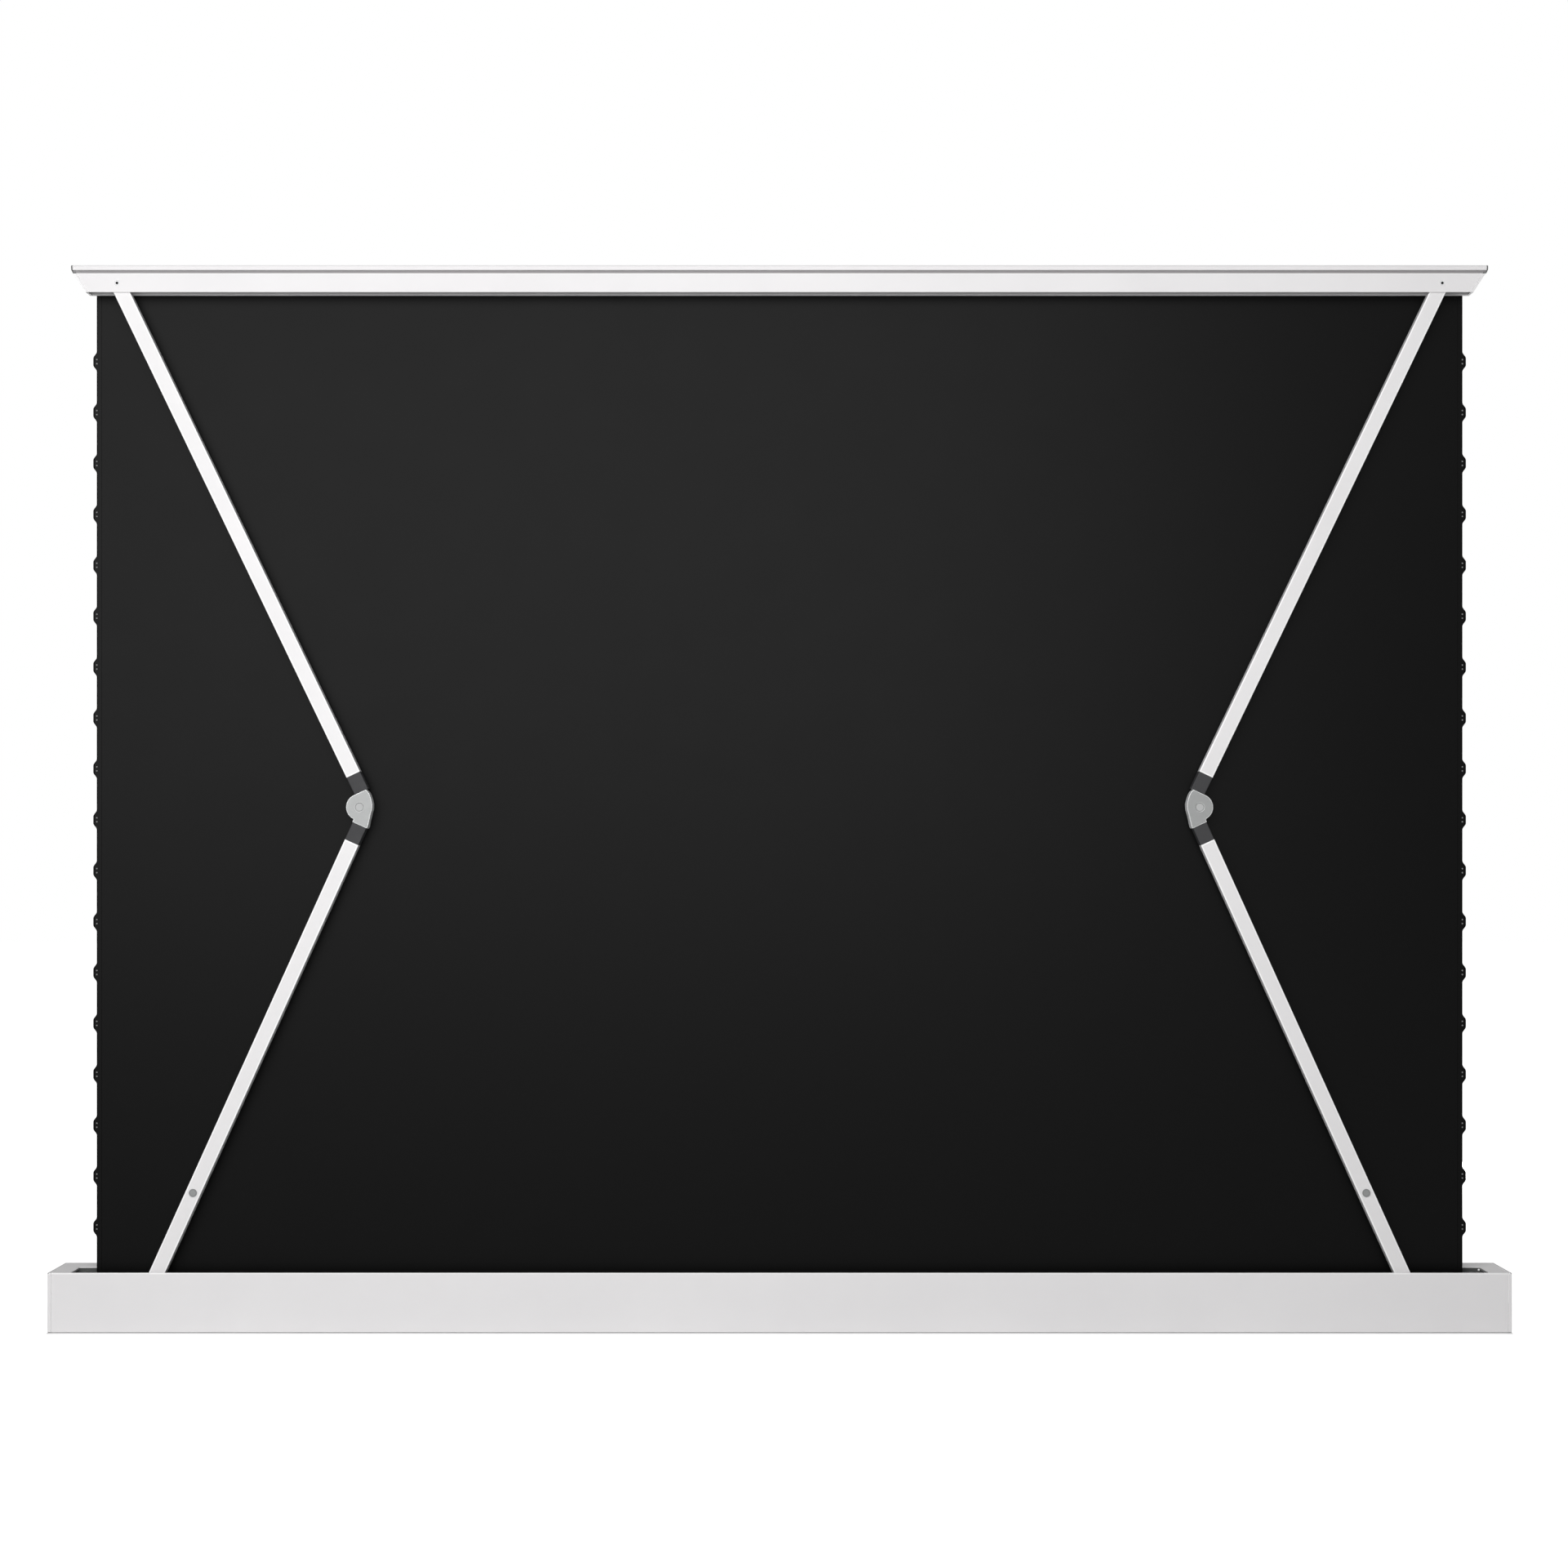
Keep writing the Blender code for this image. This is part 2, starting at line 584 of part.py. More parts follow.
def roller(axis):
    """The tube with its idler plug, drive crown and the ring that runs on the motor's head."""
    bore = ROLLER_RADIUS - ROLLER_WALL
    tube = [(bore, -TUBE_HALF), (ROLLER_RADIUS, -TUBE_HALF),
            (ROLLER_RADIUS, TUBE_HALF), (bore, TUBE_HALF)]
    piece("roller_tube", turned(tube, (1, 0, 0)), "bare_aluminium", axis)

    plug_radius = bore - GAP
    plug_end = TUBE_HALF
    shaft_end = BRACKET_X + ROLLER_BRACKET_THICKNESS + STUB_SHAFT_PROUD
    plug = [(0, -shaft_end), (STUB_SHAFT_RADIUS, -shaft_end), (STUB_SHAFT_RADIUS, -plug_end),
            (plug_radius, -plug_end), (plug_radius, PLUG_LENGTH - plug_end),
            (0, PLUG_LENGTH - plug_end)]
    piece("roller_idler_plug", turned(plug, (1, 0, 0)), "black_plastic", axis)

    body = BRACKET_X - GAP - MOTOR_LENGTH
    crown = [(STUB_SHAFT_RADIUS + GAP, body - GAP - CROWN_LENGTH),
             (plug_radius, body - GAP - CROWN_LENGTH), (plug_radius, body - GAP),
             (STUB_SHAFT_RADIUS + GAP, body - GAP)]
    piece("drive_crown", turned(crown, (1, 0, 0)), "black_plastic", axis)

    ring = [(MOTOR_RADIUS + GAP, plug_end - PLUG_LENGTH), (plug_radius, plug_end - PLUG_LENGTH),
            (plug_radius, plug_end), (MOTOR_RADIUS + GAP, plug_end)]
    piece("motor_ring", turned(ring, (1, 0, 0)), "black_plastic", axis)


# Fabric

def screen_fabric():
    """The stretched sheet, from the roller up into the top bar's clamp."""
    half = FABRIC_WIDTH / 2
    piece("screen_fabric", block((-half, FABRIC_Y, ROLLER_Z),
                                 (half, FABRIC_Y + FABRIC_THICKNESS, BAR_BOTTOM + CLAMP_BITE)),
          "black_backing")


def edge_tape(name, side):
    """The tape along one edge of the sheet, with its row of tabs."""
    edge = FABRIC_WIDTH / 2
    top = BAR_BOTTOM - GAP
    outline = [(edge - TAPE_WIDTH, ROLLER_Z), (edge, ROLLER_Z)]
    for tab in reversed(range(TAB_COUNT)):
        middle = BAR_TOP - TAB_FIRST_DROP - tab * TAB_PITCH
        outline += [(edge, middle - TAB_HEIGHT / 2), (edge + TAB_PROUD, middle - TAB_FLAT / 2),
                    (edge + TAB_PROUD, middle + TAB_FLAT / 2), (edge, middle + TAB_HEIGHT / 2)]
    outline += [(edge, top), (edge - TAPE_WIDTH, top)]
    outline = [(side * x, z) for x, z in outline]
    piece(name, along_y(outline, FABRIC_Y - GAP - TAPE_THICKNESS, FABRIC_Y - GAP), "black_tape")


# Top bar

def slant_plane(z, setback=0.0):
    """The slanted end plane's distance from the middle at a height, moved in by a setback."""
    return LID_HALF - SLANT_INSET - (LIP_BOTTOM - z) * math.tan(BAR_SLANT) - setback


def beyond_slant(side, near_y, far_y):
    """What an extrusion of the bar loses at one end, to make room for the slanted plate."""
    setback = BAR_END_THICKNESS + GAP
    low = BAR_BOTTOM - OVERRUN
    outside = side * (LID_HALF + OVERRUN)
    wedge = [(side * slant_plane(LIP_BOTTOM, setback), LIP_BOTTOM), (outside, LIP_BOTTOM),
             (outside, low), (side * slant_plane(low, setback), low)]
    return along_y(wedge, near_y, far_y)


def lip_and_lid_edge():
    """The lip's rounded front and the lid's rounded far edge, as two lists of (y, z)."""
    lip = (arc((LIP_Y + LIP_ROUNDING, BAR_TOP - LIP_ROUNDING), LIP_ROUNDING, 90, 180, CORNER_STEPS)
           + arc((LIP_Y + LIP_ROUNDING / 2, LIP_BOTTOM + LIP_ROUNDING / 2), LIP_ROUNDING / 2,
                 180, 270, CORNER_STEPS))
    far_edge = arc((LID_FAR_Y - LIP_ROUNDING, BAR_TOP - LIP_ROUNDING), LIP_ROUNDING,
                   0, 90, CORNER_STEPS)
    return lip, far_edge


def top_bar_cover(place):
    """Lid, rounded lip, groove wall and skirt in one extrusion, with slanted skirt ends."""
    lip_inner = LIP_Y + LIP_THICKNESS
    groove_inner = lip_inner + SKIRT_THICKNESS
    skirt_inner = SKIRT_Y + SKIRT_THICKNESS
    shelf = SKIRT_TOP - SKIRT_THICKNESS
    lip, far_edge = lip_and_lid_edge()
    outline = (lip + [(lip_inner, LIP_BOTTOM), (lip_inner, SKIRT_TOP), (SKIRT_Y, SKIRT_TOP),
                      (SKIRT_Y, BAR_BOTTOM), (skirt_inner, BAR_BOTTOM), (skirt_inner, shelf),
                      (groove_inner, shelf), (groove_inner, LID_BOTTOM), (LID_FAR_Y, LID_BOTTOM)]
               + far_edge)
    cover = piece("top_bar_cover", along_x(outline, -COVER_HALF, COVER_HALF), "white_aluminium",
                  *place)
    for side in (-1, 1):
        combine(cover, beyond_slant(side, LIP_Y - OVERRUN, RAIL_Y), "DIFFERENCE")
        hole = rod(TOP_PIN_RADIUS + GAP, SKIRT_Y - OVERRUN, skirt_inner + OVERRUN, (0, 1, 0))
        combine(cover, moved(hole, (side * TOP_PIVOT_X, 0, TOP_PIVOT_Z)), "DIFFERENCE")


def clamp_rail(place):
    """The inner wall that the sheet is clamped against, and that takes the top pivot pins."""
    outline = [(RAIL_Y, BAR_BOTTOM), (RAIL_Y + RAIL_DEPTH, BAR_BOTTOM),
               (RAIL_Y + RAIL_DEPTH, CLAMP_TOP), (RAIL_Y, CLAMP_TOP)]
    rail = piece("clamp_rail", along_x(outline, -COVER_HALF, COVER_HALF), "white_aluminium",
                 *place)
    for side in (-1, 1):
        combine(rail, beyond_slant(side, SKIRT_Y, FABRIC_Y), "DIFFERENCE")
        hole = rod(TOP_PIN_RADIUS + GAP, RAIL_Y - OVERRUN, RAIL_Y + RAIL_DEPTH - SKIRT_THICKNESS,
                   (0, 1, 0))
        combine(rail, moved(hole, (side * TOP_PIVOT_X, 0, TOP_PIVOT_Z)), "DIFFERENCE")


def clamp_strip(place):
    """The strip that presses the sheet on the rail."""
    half = FABRIC_WIDTH / 2
    piece("clamp_strip", block((-half, STRIP_Y, BAR_BOTTOM + STRIP_RISE),
                               (half, STRIP_Y + STRIP_DEPTH, CLAMP_TOP)), "zinc_plate", *place)


def bar_end(name, side, place):
    """The moulded end of the bar: a slanted plate, and a block that ends the lid and its lip."""
    far = RAIL_Y + RAIL_DEPTH
    lip_inner = LIP_Y + LIP_THICKNESS
    plate = along_x([(SKIRT_Y, BAR_BOTTOM), (far, BAR_BOTTOM), (far, LIP_BOTTOM),
                     (lip_inner, LIP_BOTTOM), (lip_inner, SKIRT_TOP), (SKIRT_Y, SKIRT_TOP)],
                    0, side)
    for vert in plate.verts:
        setback = BAR_END_THICKNESS if vert.co.x == 0 else 0
        vert.co.x = side * slant_plane(vert.co.z, setback)

    lip, far_edge = lip_and_lid_edge()
    block_outline = (lip + [(lip_inner, LIP_BOTTOM), (lip_inner, SKIRT_TOP), (far, SKIRT_TOP),
                            (far, LID_BOTTOM), (LID_FAR_Y, LID_BOTTOM)] + far_edge)
    start = LID_HALF - LID_END_LENGTH
    end = piece(name, along_x(block_outline, side * start, side * LID_HALF), "white_aluminium",
                *place)
    top = LID_END_TOP_ROUNDING
    fall = LID_HALF - slant_plane(SKIRT_TOP)
    curve = arc((LID_HALF - top, BAR_TOP - top), top, 90, 0, CORNER_STEPS)
    curve += [(LID_HALF - fall * (1 - across), SKIRT_TOP + LID_END_CURVE_HEIGHT * (1 - down))
              for across, down in arc((0, 0), 1, 0, 90, CORNER_STEPS * 2)]
    outside = LID_HALF + OVERRUN
    curve += [(LID_HALF - fall, SKIRT_TOP - OVERRUN), (outside, SKIRT_TOP - OVERRUN),
              (outside, BAR_TOP + OVERRUN), (LID_HALF - top, BAR_TOP + OVERRUN)]
    rounding = along_y([(side * x, z) for x, z in curve], LIP_Y - OVERRUN, LID_FAR_Y + OVERRUN)
    combine(end, rounding, "DIFFERENCE")
    combine(end, plate, "UNION")


def top_pin(name, side, place):
    """The screw that the upper arm turns on, with a hexagon socket in its head."""
    near = SKIRT_Y
    far = RAIL_Y + RAIL_DEPTH - SKIRT_THICKNESS - GAP
    floor = near + PIN_SOCKET_DEPTH
    profile = [(0, floor), (TOP_PIN_SOCKET_RADIUS, floor), (TOP_PIN_SOCKET_RADIUS, near),
               (TOP_PIN_RADIUS, near), (TOP_PIN_RADIUS, far), (0, far)]
    shape = moved(turned(profile, (0, 1, 0)), (side * TOP_PIVOT_X, 0, TOP_PIVOT_Z))
    piece(name, shape, "steel", *place)


# Lifting arms. A point (x, z) here has x towards the middle of the screen and z along the tube.

def inner_points(outline, inward, centre=(0, 0)):
    """An outline in an arm's own frame, turned to its side of the screen."""
    return [(inward * (centre[0] + x), centre[1] + z) for x, z in outline]


def base_bracket(name, side):
    """Two cheeks on a foot plate, which carry the base pin."""
    x = side * BASE_PIVOT_X
    low = FLOOR_TOP + GAP
    plate_top = low + BRACKET_PLATE
    inner = STUB_DEPTH / 2 + GAP
    outer = inner + BRACKET_CHEEK
    foot = block((x - BRACKET_LENGTH / 2, ARM_Y - outer - BRACKET_CHEEK, low),
                 (x + BRACKET_LENGTH / 2, ARM_Y + outer + BRACKET_CHEEK, plate_top))
    bracket = piece(name, foot, "zinc_plate")
    half = BRACKET_CHEEK_WIDTH / 2
    sink = BRACKET_PLATE / 2
    cheek = ([(-half, low + sink - BASE_PIVOT_Z), (half, low + sink - BASE_PIVOT_Z)]
             + arc((0, 0), BRACKET_CHEEK_TOP_RADIUS, 0, 180, HALF_ROUND_STEPS))
    for start in (-outer, inner):
        shape = along_y(cheek, ARM_Y + start, ARM_Y + start + BRACKET_CHEEK)
        combine(bracket, moved(shape, (x, 0, BASE_PIVOT_Z)), "UNION")
    hole = rod(BASE_PIN_RADIUS + GAP, -outer - OVERRUN, outer + OVERRUN, (0, 1, 0))
    combine(bracket, moved(hole, (x, ARM_Y, BASE_PIVOT_Z)), "DIFFERENCE")


def base_pin(name, side):
    """The pin that the lower arm turns on, with a flat head on each side."""
    reach = STUB_DEPTH / 2 + GAP + BRACKET_CHEEK + GAP
    end = reach + PIN_HEAD_THICKNESS
    profile = [(0, -end), (BASE_PIN_HEAD_RADIUS, -end), (BASE_PIN_HEAD_RADIUS, -reach),
               (BASE_PIN_RADIUS, -reach), (BASE_PIN_RADIUS, reach),
               (BASE_PIN_HEAD_RADIUS, reach), (BASE_PIN_HEAD_RADIUS, end), (0, end)]
    shape = turned(profile, (0, 1, 0))
    piece(name, moved(shape, (side * BASE_PIVOT_X, ARM_Y, BASE_PIVOT_Z)), "steel")


def end_fitting(name, axis, location, direction, bore_radius):
    """A round eye with a stub that fills the tube's end; direction is the stub's way along z."""
    half = STUB_WIDTH / 2
    reach = TUBE_END_INSET + STUB_LENGTH
    rise = math.degrees(math.acos(half / FITTING_RADIUS))
    outline = arc((0, 0), FITTING_RADIUS, rise, -180 - rise, EYE_STEPS)
    outline += [(-half, reach), (half, reach)]
    outline = [(x, direction * z) for x, z in outline]
    fitting = piece(name, along_y(outline, -STUB_DEPTH / 2, STUB_DEPTH / 2), "silver_cast",
                    axis, location)
    combine(fitting, rod(bore_radius, -ARM_DEPTH, ARM_DEPTH, (0, 1, 0)), "DIFFERENCE")


def arm_tube(name, axis, x, start, end):
    """One box tube of an arm."""
    return piece(name, hollow_bar(ARM_WIDTH, ARM_DEPTH, ARM_WALL, ARM_CORNER, start, end),
                 "white_tube", axis, (x, 0, 0))


def collar(name, axis, x, start, end):
    """The dark sleeve between a tube and the elbow."""
    piece(name, hollow_bar(ARM_WIDTH, ARM_DEPTH, ARM_WALL, ARM_CORNER, start, end),
          "dark_collar", axis, (x, 0, 0))


# Corners of the elbow's inner edge about the knee pin, as shares of the elbow's radius
ELBOW_EDGE_SHARES = ((1.17, -1.25), (1.19, -1.08), (1.02, -0.28), (0.93, 0.28), (0.79, 0.62),
                     (0.55, 0.94), (0.30, 1.20), (0.12, 1.335), (-0.03, 1.39), (-0.12, 1.40))


def elbow_clevis(name, axis, inward):
    """Two round-backed plates joined by a web on the inner side, with a stub down the tube."""
    knee = (-LOWER_KNEE_OFFSET, LOWER_RUN)
    bottom = LOWER_COLLAR_START - GAP
    back = LOWER_KNEE_OFFSET - ARM_WIDTH / 2
    lean = 90 + math.degrees(LOWER_TILT + UPPER_TILT)
    outline = [(back, -bottom)]
    outline += [(ELBOW_RADIUS * x, max(ELBOW_RADIUS * z, -bottom)) for x, z in ELBOW_EDGE_SHARES]
    outline += arc((0, 0), ELBOW_RADIUS, lean, ELBOW_BACK_END, HALF_ROUND_STEPS)
    plates = along_y(inner_points(outline, inward, knee), -ELBOW_DEPTH / 2, ELBOW_DEPTH / 2)
    clevis = piece(name, plates, "silver_cast", axis)

    room = HUB_RADIUS + HUB_CLEARANCE
    far = ELBOW_RADIUS * 2
    across = Vector((math.cos(math.radians(lean - 90)), math.sin(math.radians(lean - 90))))
    along = Vector((-across.y, across.x))
    neck_side = UPPER_KNEE_OFFSET - STUB_WIDTH / 2 + TONGUE_NECK_WIDTH + HUB_CLEARANCE
    leave = across * neck_side + along * (ELBOW_WEB - HUB_CLEARANCE)
    out = across * neck_side + along * far
    slot = arc((0, 0), room, ELBOW_BACK_END - 360, lean - 90, HALF_ROUND_STEPS)
    slot += [tuple(leave), tuple(out), (-far, out.y), (-far, -far), (back - GAP * 2, -far)]
    pocket = along_y(inner_points(slot, inward, knee), -CLEVIS_SLOT / 2, CLEVIS_SLOT / 2)
    combine(clevis, pocket, "DIFFERENCE")

    top = LOWER_RUN - bottom + ELBOW_WEB
    end = LOWER_RUN - LOWER_COLLAR_START - COLLAR_LENGTH - STUB_LENGTH
    half = STUB_WIDTH / 2
    combine(clevis, block((-half, -STUB_DEPTH / 2, end), (half, STUB_DEPTH / 2, top)), "UNION")

    cable = rod(CABLE_RADIUS + CABLE_BORE_CLEARANCE, end - OVERRUN, LOWER_RUN, (0, 0, 1))
    combine(clevis, cable, "DIFFERENCE")
    hole = rod(ELBOW_PIN_RADIUS + GAP, -ELBOW_DEPTH, ELBOW_DEPTH, (0, 1, 0))
    combine(clevis, moved(hole, (inward * knee[0], 0, knee[1])), "DIFFERENCE")
    seat = rod(ELBOW_PIN_HEAD_RADIUS + GAP, -ELBOW_DEPTH / 2 - OVERRUN,
               PIN_HEAD_THICKNESS + GAP - ELBOW_DEPTH / 2, (0, 1, 0))
    combine(clevis, moved(seat, (inward * knee[0], 0, knee[1])), "DIFFERENCE")


def elbow_pin(name, axis, inward):
    """The knee pin, its head flush with the elbow's rear face."""
    near = -ELBOW_DEPTH / 2
    head = near + PIN_HEAD_THICKNESS
    far = ELBOW_DEPTH / 2
    profile = [(0, near), (ELBOW_PIN_HEAD_RADIUS, near), (ELBOW_PIN_HEAD_RADIUS, head),
               (ELBOW_PIN_RADIUS, head), (ELBOW_PIN_RADIUS, far), (0, far)]
    shape = turned(profile, (0, 1, 0))
    piece(name, moved(shape, (-inward * LOWER_KNEE_OFFSET, 0, LOWER_RUN)), "silver_cast", axis)


def anchor_pin(name, axis):
    """The pin across the lower tube that holds the spring's end."""
    near = -ARM_DEPTH / 2 - GAP - PIN_HEAD_THICKNESS
    head = -ARM_DEPTH / 2 - GAP
    far = ARM_DEPTH / 2
    profile = [(0, near), (ANCHOR_HEAD_RADIUS, near), (ANCHOR_HEAD_RADIUS, head),
               (ANCHOR_PIN_RADIUS, head), (ANCHOR_PIN_RADIUS, far), (0, far)]
    piece(name, moved(turned(profile, (0, 1, 0)), (0, 0, ANCHOR_DISTANCE)), "steel", axis)


def spring_cylinder(name, axis):
    """The lifting spring's cylinder, pinned at its lower end and open at its upper end."""
    low = ANCHOR_DISTANCE - SPRING_RADIUS
    high = low + SPRING_LENGTH
    bore = ROD_RADIUS + GAP
    profile = [(0, low), (SPRING_RADIUS, low), (SPRING_RADIUS, high), (bore, high),
               (bore, high - SPRING_BORE_DEPTH), (0, high - SPRING_BORE_DEPTH)]
    cylinder = piece(name, turned(profile, (0, 0, 1)), "steel", axis)
    hole = rod(ANCHOR_PIN_RADIUS + GAP, -ARM_DEPTH, ARM_DEPTH, (0, 1, 0))
    combine(cylinder, moved(hole, (0, 0, ANCHOR_DISTANCE)), "DIFFERENCE")


def spring_rod(name, axis):
    """The rod that the spring draws down; the lift cable hangs on its upper end."""
    low = ANCHOR_DISTANCE - SPRING_RADIUS + SPRING_LENGTH - ROD_ENGAGEMENT
    slide = axis_empty(name + "_axis", axis, (0, 0, low))
    piece(name, rod(ROD_RADIUS, 0, ROD_LENGTH, (0, 0, 1)), "bare_aluminium", slide)
    return low + ROD_LENGTH


def lift_cable(name, axis, start):
    """The cable from the spring's rod to the hub of the upper arm."""
    reach = LOWER_KNEE_OFFSET - CABLE_RADIUS
    end = LOWER_RUN - math.sqrt(HUB_RADIUS ** 2 - reach ** 2) - GAP
    piece(name, rod(CABLE_RADIUS, start + GAP, end, (0, 0, 1)), "steel", axis)


def elbow_tongue(name, axis, inward):
    """The hub of the upper arm between the clevis plates, with its stub up the tube."""
    outer = UPPER_KNEE_OFFSET - STUB_WIDTH / 2
    inner = UPPER_KNEE_OFFSET + STUB_WIDTH / 2
    neck = outer + TONGUE_NECK_WIDTH
    shoulder = UPPER_COLLAR_START + GAP
    end = UPPER_COLLAR_START + COLLAR_LENGTH + STUB_LENGTH
    start = math.degrees(math.acos(outer / HUB_RADIUS))
    outline = arc((0, 0), HUB_RADIUS, start, 360, ROUND_STEPS)
    outline += [(neck, ELBOW_WEB), (neck, shoulder), (inner, shoulder), (inner, end), (outer, end)]
    shape = along_y(inner_points(outline, inward), -TONGUE_DEPTH / 2, TONGUE_DEPTH / 2)
    tongue = piece(name, shape, "silver_cast", axis)
    combine(tongue, rod(ELBOW_PIN_RADIUS + GAP, -ELBOW_DEPTH, ELBOW_DEPTH, (0, 1, 0)),
            "DIFFERENCE")


def lifting_arm(side_name, side):
    """One jointed arm; returns the empty on its top pivot."""
    inward = -side
    base_bracket("base_bracket_" + side_name, side)
    base_pin("base_pin_" + side_name, side)

    base = axis_empty("base_axis_" + side_name, None,
                      (side * BASE_PIVOT_X, ARM_Y, BASE_PIVOT_Z), inward * LOWER_TILT)
    end_fitting("base_fitting_" + side_name, base, (0, 0, 0), 1, BASE_PIN_RADIUS + GAP)
    collar_end = LOWER_RUN - LOWER_COLLAR_START
    collar_start = collar_end - COLLAR_LENGTH
    tube = arm_tube("lower_tube_" + side_name, base, 0, TUBE_END_INSET, collar_start - GAP)
    hole = rod(ANCHOR_PIN_RADIUS + GAP, -ARM_DEPTH, ARM_DEPTH, (0, 1, 0))
    combine(tube, moved(hole, (0, 0, ANCHOR_DISTANCE)), "DIFFERENCE")
    collar("lower_collar_" + side_name, base, 0, collar_start, collar_end)
    elbow_clevis("elbow_clevis_" + side_name, base, inward)
    elbow_pin("elbow_pin_" + side_name, base, inward)
    anchor_pin("anchor_pin_" + side_name, base)
    spring_cylinder("spring_cylinder_" + side_name, base)
    rod_end = spring_rod("spring_rod_" + side_name, base)
    lift_cable("lift_cable_" + side_name, base, rod_end)

    knee = axis_empty("knee_axis_" + side_name, base,
                      (-inward * LOWER_KNEE_OFFSET, 0, LOWER_RUN),
                      -inward * (LOWER_TILT + UPPER_TILT))
    tube_x = inward * UPPER_KNEE_OFFSET
    elbow_tongue("elbow_tongue_" + side_name, knee, inward)
    collar_end = UPPER_COLLAR_START + COLLAR_LENGTH
    collar("upper_collar_" + side_name, knee, tube_x, UPPER_COLLAR_START, collar_end)
    arm_tube("upper_tube_" + side_name, knee, tube_x, collar_end + GAP,
             UPPER_RUN - TOP_TUBE_INSET)
    end_fitting("top_fitting_" + side_name, knee, (tube_x, 0, UPPER_RUN), -1,
                TOP_PIN_RADIUS + TOP_PIN_CLEARANCE)
    return axis_empty("top_axis_" + side_name, knee, (tube_x, 0, UPPER_RUN), inward * UPPER_TILT)


base_tray()
foot_pads()
top_cover()
housing_ends()
power_inlet()
push_button()
ir_window()
control_box()

roller_bracket("roller_bracket_left", -1, STUB_SHAFT_RADIUS + GAP)
roller_bracket("roller_bracket_right", 1, MOTOR_NECK_RADIUS + GAP)
roller_motor()
roller(axis_empty("roller_axis", None, (0, ROLLER_Y, ROLLER_Z)))

screen_fabric()
edge_tape("edge_tape_left", -1)
edge_tape("edge_tape_right", 1)

left_top = lifting_arm("left", -1)
lifting_arm("right", 1)

# The bar hangs on the left arm's top pivot, and its pieces are drawn about the screen's origin.
bar_place = (left_top, (TOP_PIVOT_X, -ARM_Y, -TOP_PIVOT_Z))
top_bar_cover(bar_place)
clamp_rail(bar_place)
clamp_strip(bar_place)
bar_end("bar_end_left", -1, bar_place)
bar_end("bar_end_right", 1, bar_place)
top_pin("top_pin_left", -1, bar_place)
top_pin("top_pin_right", 1, bar_place)
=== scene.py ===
import json
import math

import bmesh
import bpy
from mathutils import Matrix, Vector


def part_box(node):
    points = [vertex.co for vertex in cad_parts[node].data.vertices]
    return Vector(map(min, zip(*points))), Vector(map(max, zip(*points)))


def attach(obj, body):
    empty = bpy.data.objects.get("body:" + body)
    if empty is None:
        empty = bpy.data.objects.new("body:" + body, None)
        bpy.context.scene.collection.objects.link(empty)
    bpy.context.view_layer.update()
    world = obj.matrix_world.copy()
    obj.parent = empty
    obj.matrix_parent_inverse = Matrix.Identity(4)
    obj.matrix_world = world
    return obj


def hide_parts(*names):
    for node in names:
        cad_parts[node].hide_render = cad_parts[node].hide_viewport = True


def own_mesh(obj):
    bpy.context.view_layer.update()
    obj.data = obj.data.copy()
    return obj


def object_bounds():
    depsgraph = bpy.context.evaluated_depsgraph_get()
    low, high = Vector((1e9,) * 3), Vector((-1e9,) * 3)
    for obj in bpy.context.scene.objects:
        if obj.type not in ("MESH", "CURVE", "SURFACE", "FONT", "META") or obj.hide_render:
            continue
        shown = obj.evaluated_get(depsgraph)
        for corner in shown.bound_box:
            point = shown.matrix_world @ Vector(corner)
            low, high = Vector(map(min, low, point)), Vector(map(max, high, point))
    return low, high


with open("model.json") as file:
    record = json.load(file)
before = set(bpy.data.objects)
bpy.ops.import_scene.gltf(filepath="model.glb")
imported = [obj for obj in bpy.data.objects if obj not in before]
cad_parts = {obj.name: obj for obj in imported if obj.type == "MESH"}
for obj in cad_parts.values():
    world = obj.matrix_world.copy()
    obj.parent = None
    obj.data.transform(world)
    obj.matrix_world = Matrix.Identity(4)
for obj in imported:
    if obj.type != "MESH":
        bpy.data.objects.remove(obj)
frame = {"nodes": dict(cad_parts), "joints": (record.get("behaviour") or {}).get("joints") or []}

cad_low, cad_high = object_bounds()

# Camera
# The screen is seen from behind, from 6.2 m away and a little under half its height, looking
# level. The small upward shift brings the whole screen into the square picture.
CAMERA_PLACE = (0.0, -6.282, 0.785)
LENS = 85.48
SHIFT = (0.0028, 0.04956)

camera_data = bpy.data.cameras.new("camera")
camera_data.lens = LENS
camera_data.shift_x, camera_data.shift_y = SHIFT
camera = bpy.data.objects.new("camera", camera_data)
camera.location = CAMERA_PLACE
camera.rotation_euler = (math.pi / 2, 0, 0)
bpy.context.scene.collection.objects.link(camera)
bpy.context.scene.camera = camera

# Housing tray
# The floor, rear wall and front wall are one aluminium extrusion, powder-coated white. The coat
# has a fine orange peel and a faint unevenness of sheen, a painted highlight on its upper rounds,
# and painted grey shade along its foot.
COAT_WHITE = (0.775, 0.763, 0.769)
COAT_SHADE = (0.755, 0.743, 0.750)
COAT_ROUGHNESS = 0.52
COAT_UNEVENNESS = 0.03
COAT_GLOSS = 0.35
PATCH_SIZE = 0.16
PATCH_RUN = (0.35, 0.65)
PEEL_SIZE = 0.0011
PEEL_DEPTH = 0.00003
PAINTED_EDGE_HIGHLIGHT = (0.96, 0.955, 0.957)
EDGE_SOFTNESS = 0.0006
EDGE_REACH = 0.0022
EDGE_RUN = (0.998, 0.90)
EDGE_SAMPLES = 8
SOFT_SAMPLES = 6
NOISE_RUN = (0.3, 0.7)
ROUND_RUN = (0.01, 0.20)
ROUND_START = 0.05
FOOT_SHADE_GREY = (0.50, 0.49, 0.495)
FOOT_SHADE_RUN = (0.0019, 0.0008)
WELD_DISTANCE = 0.00001
SMOOTH_ANGLE = math.radians(35)


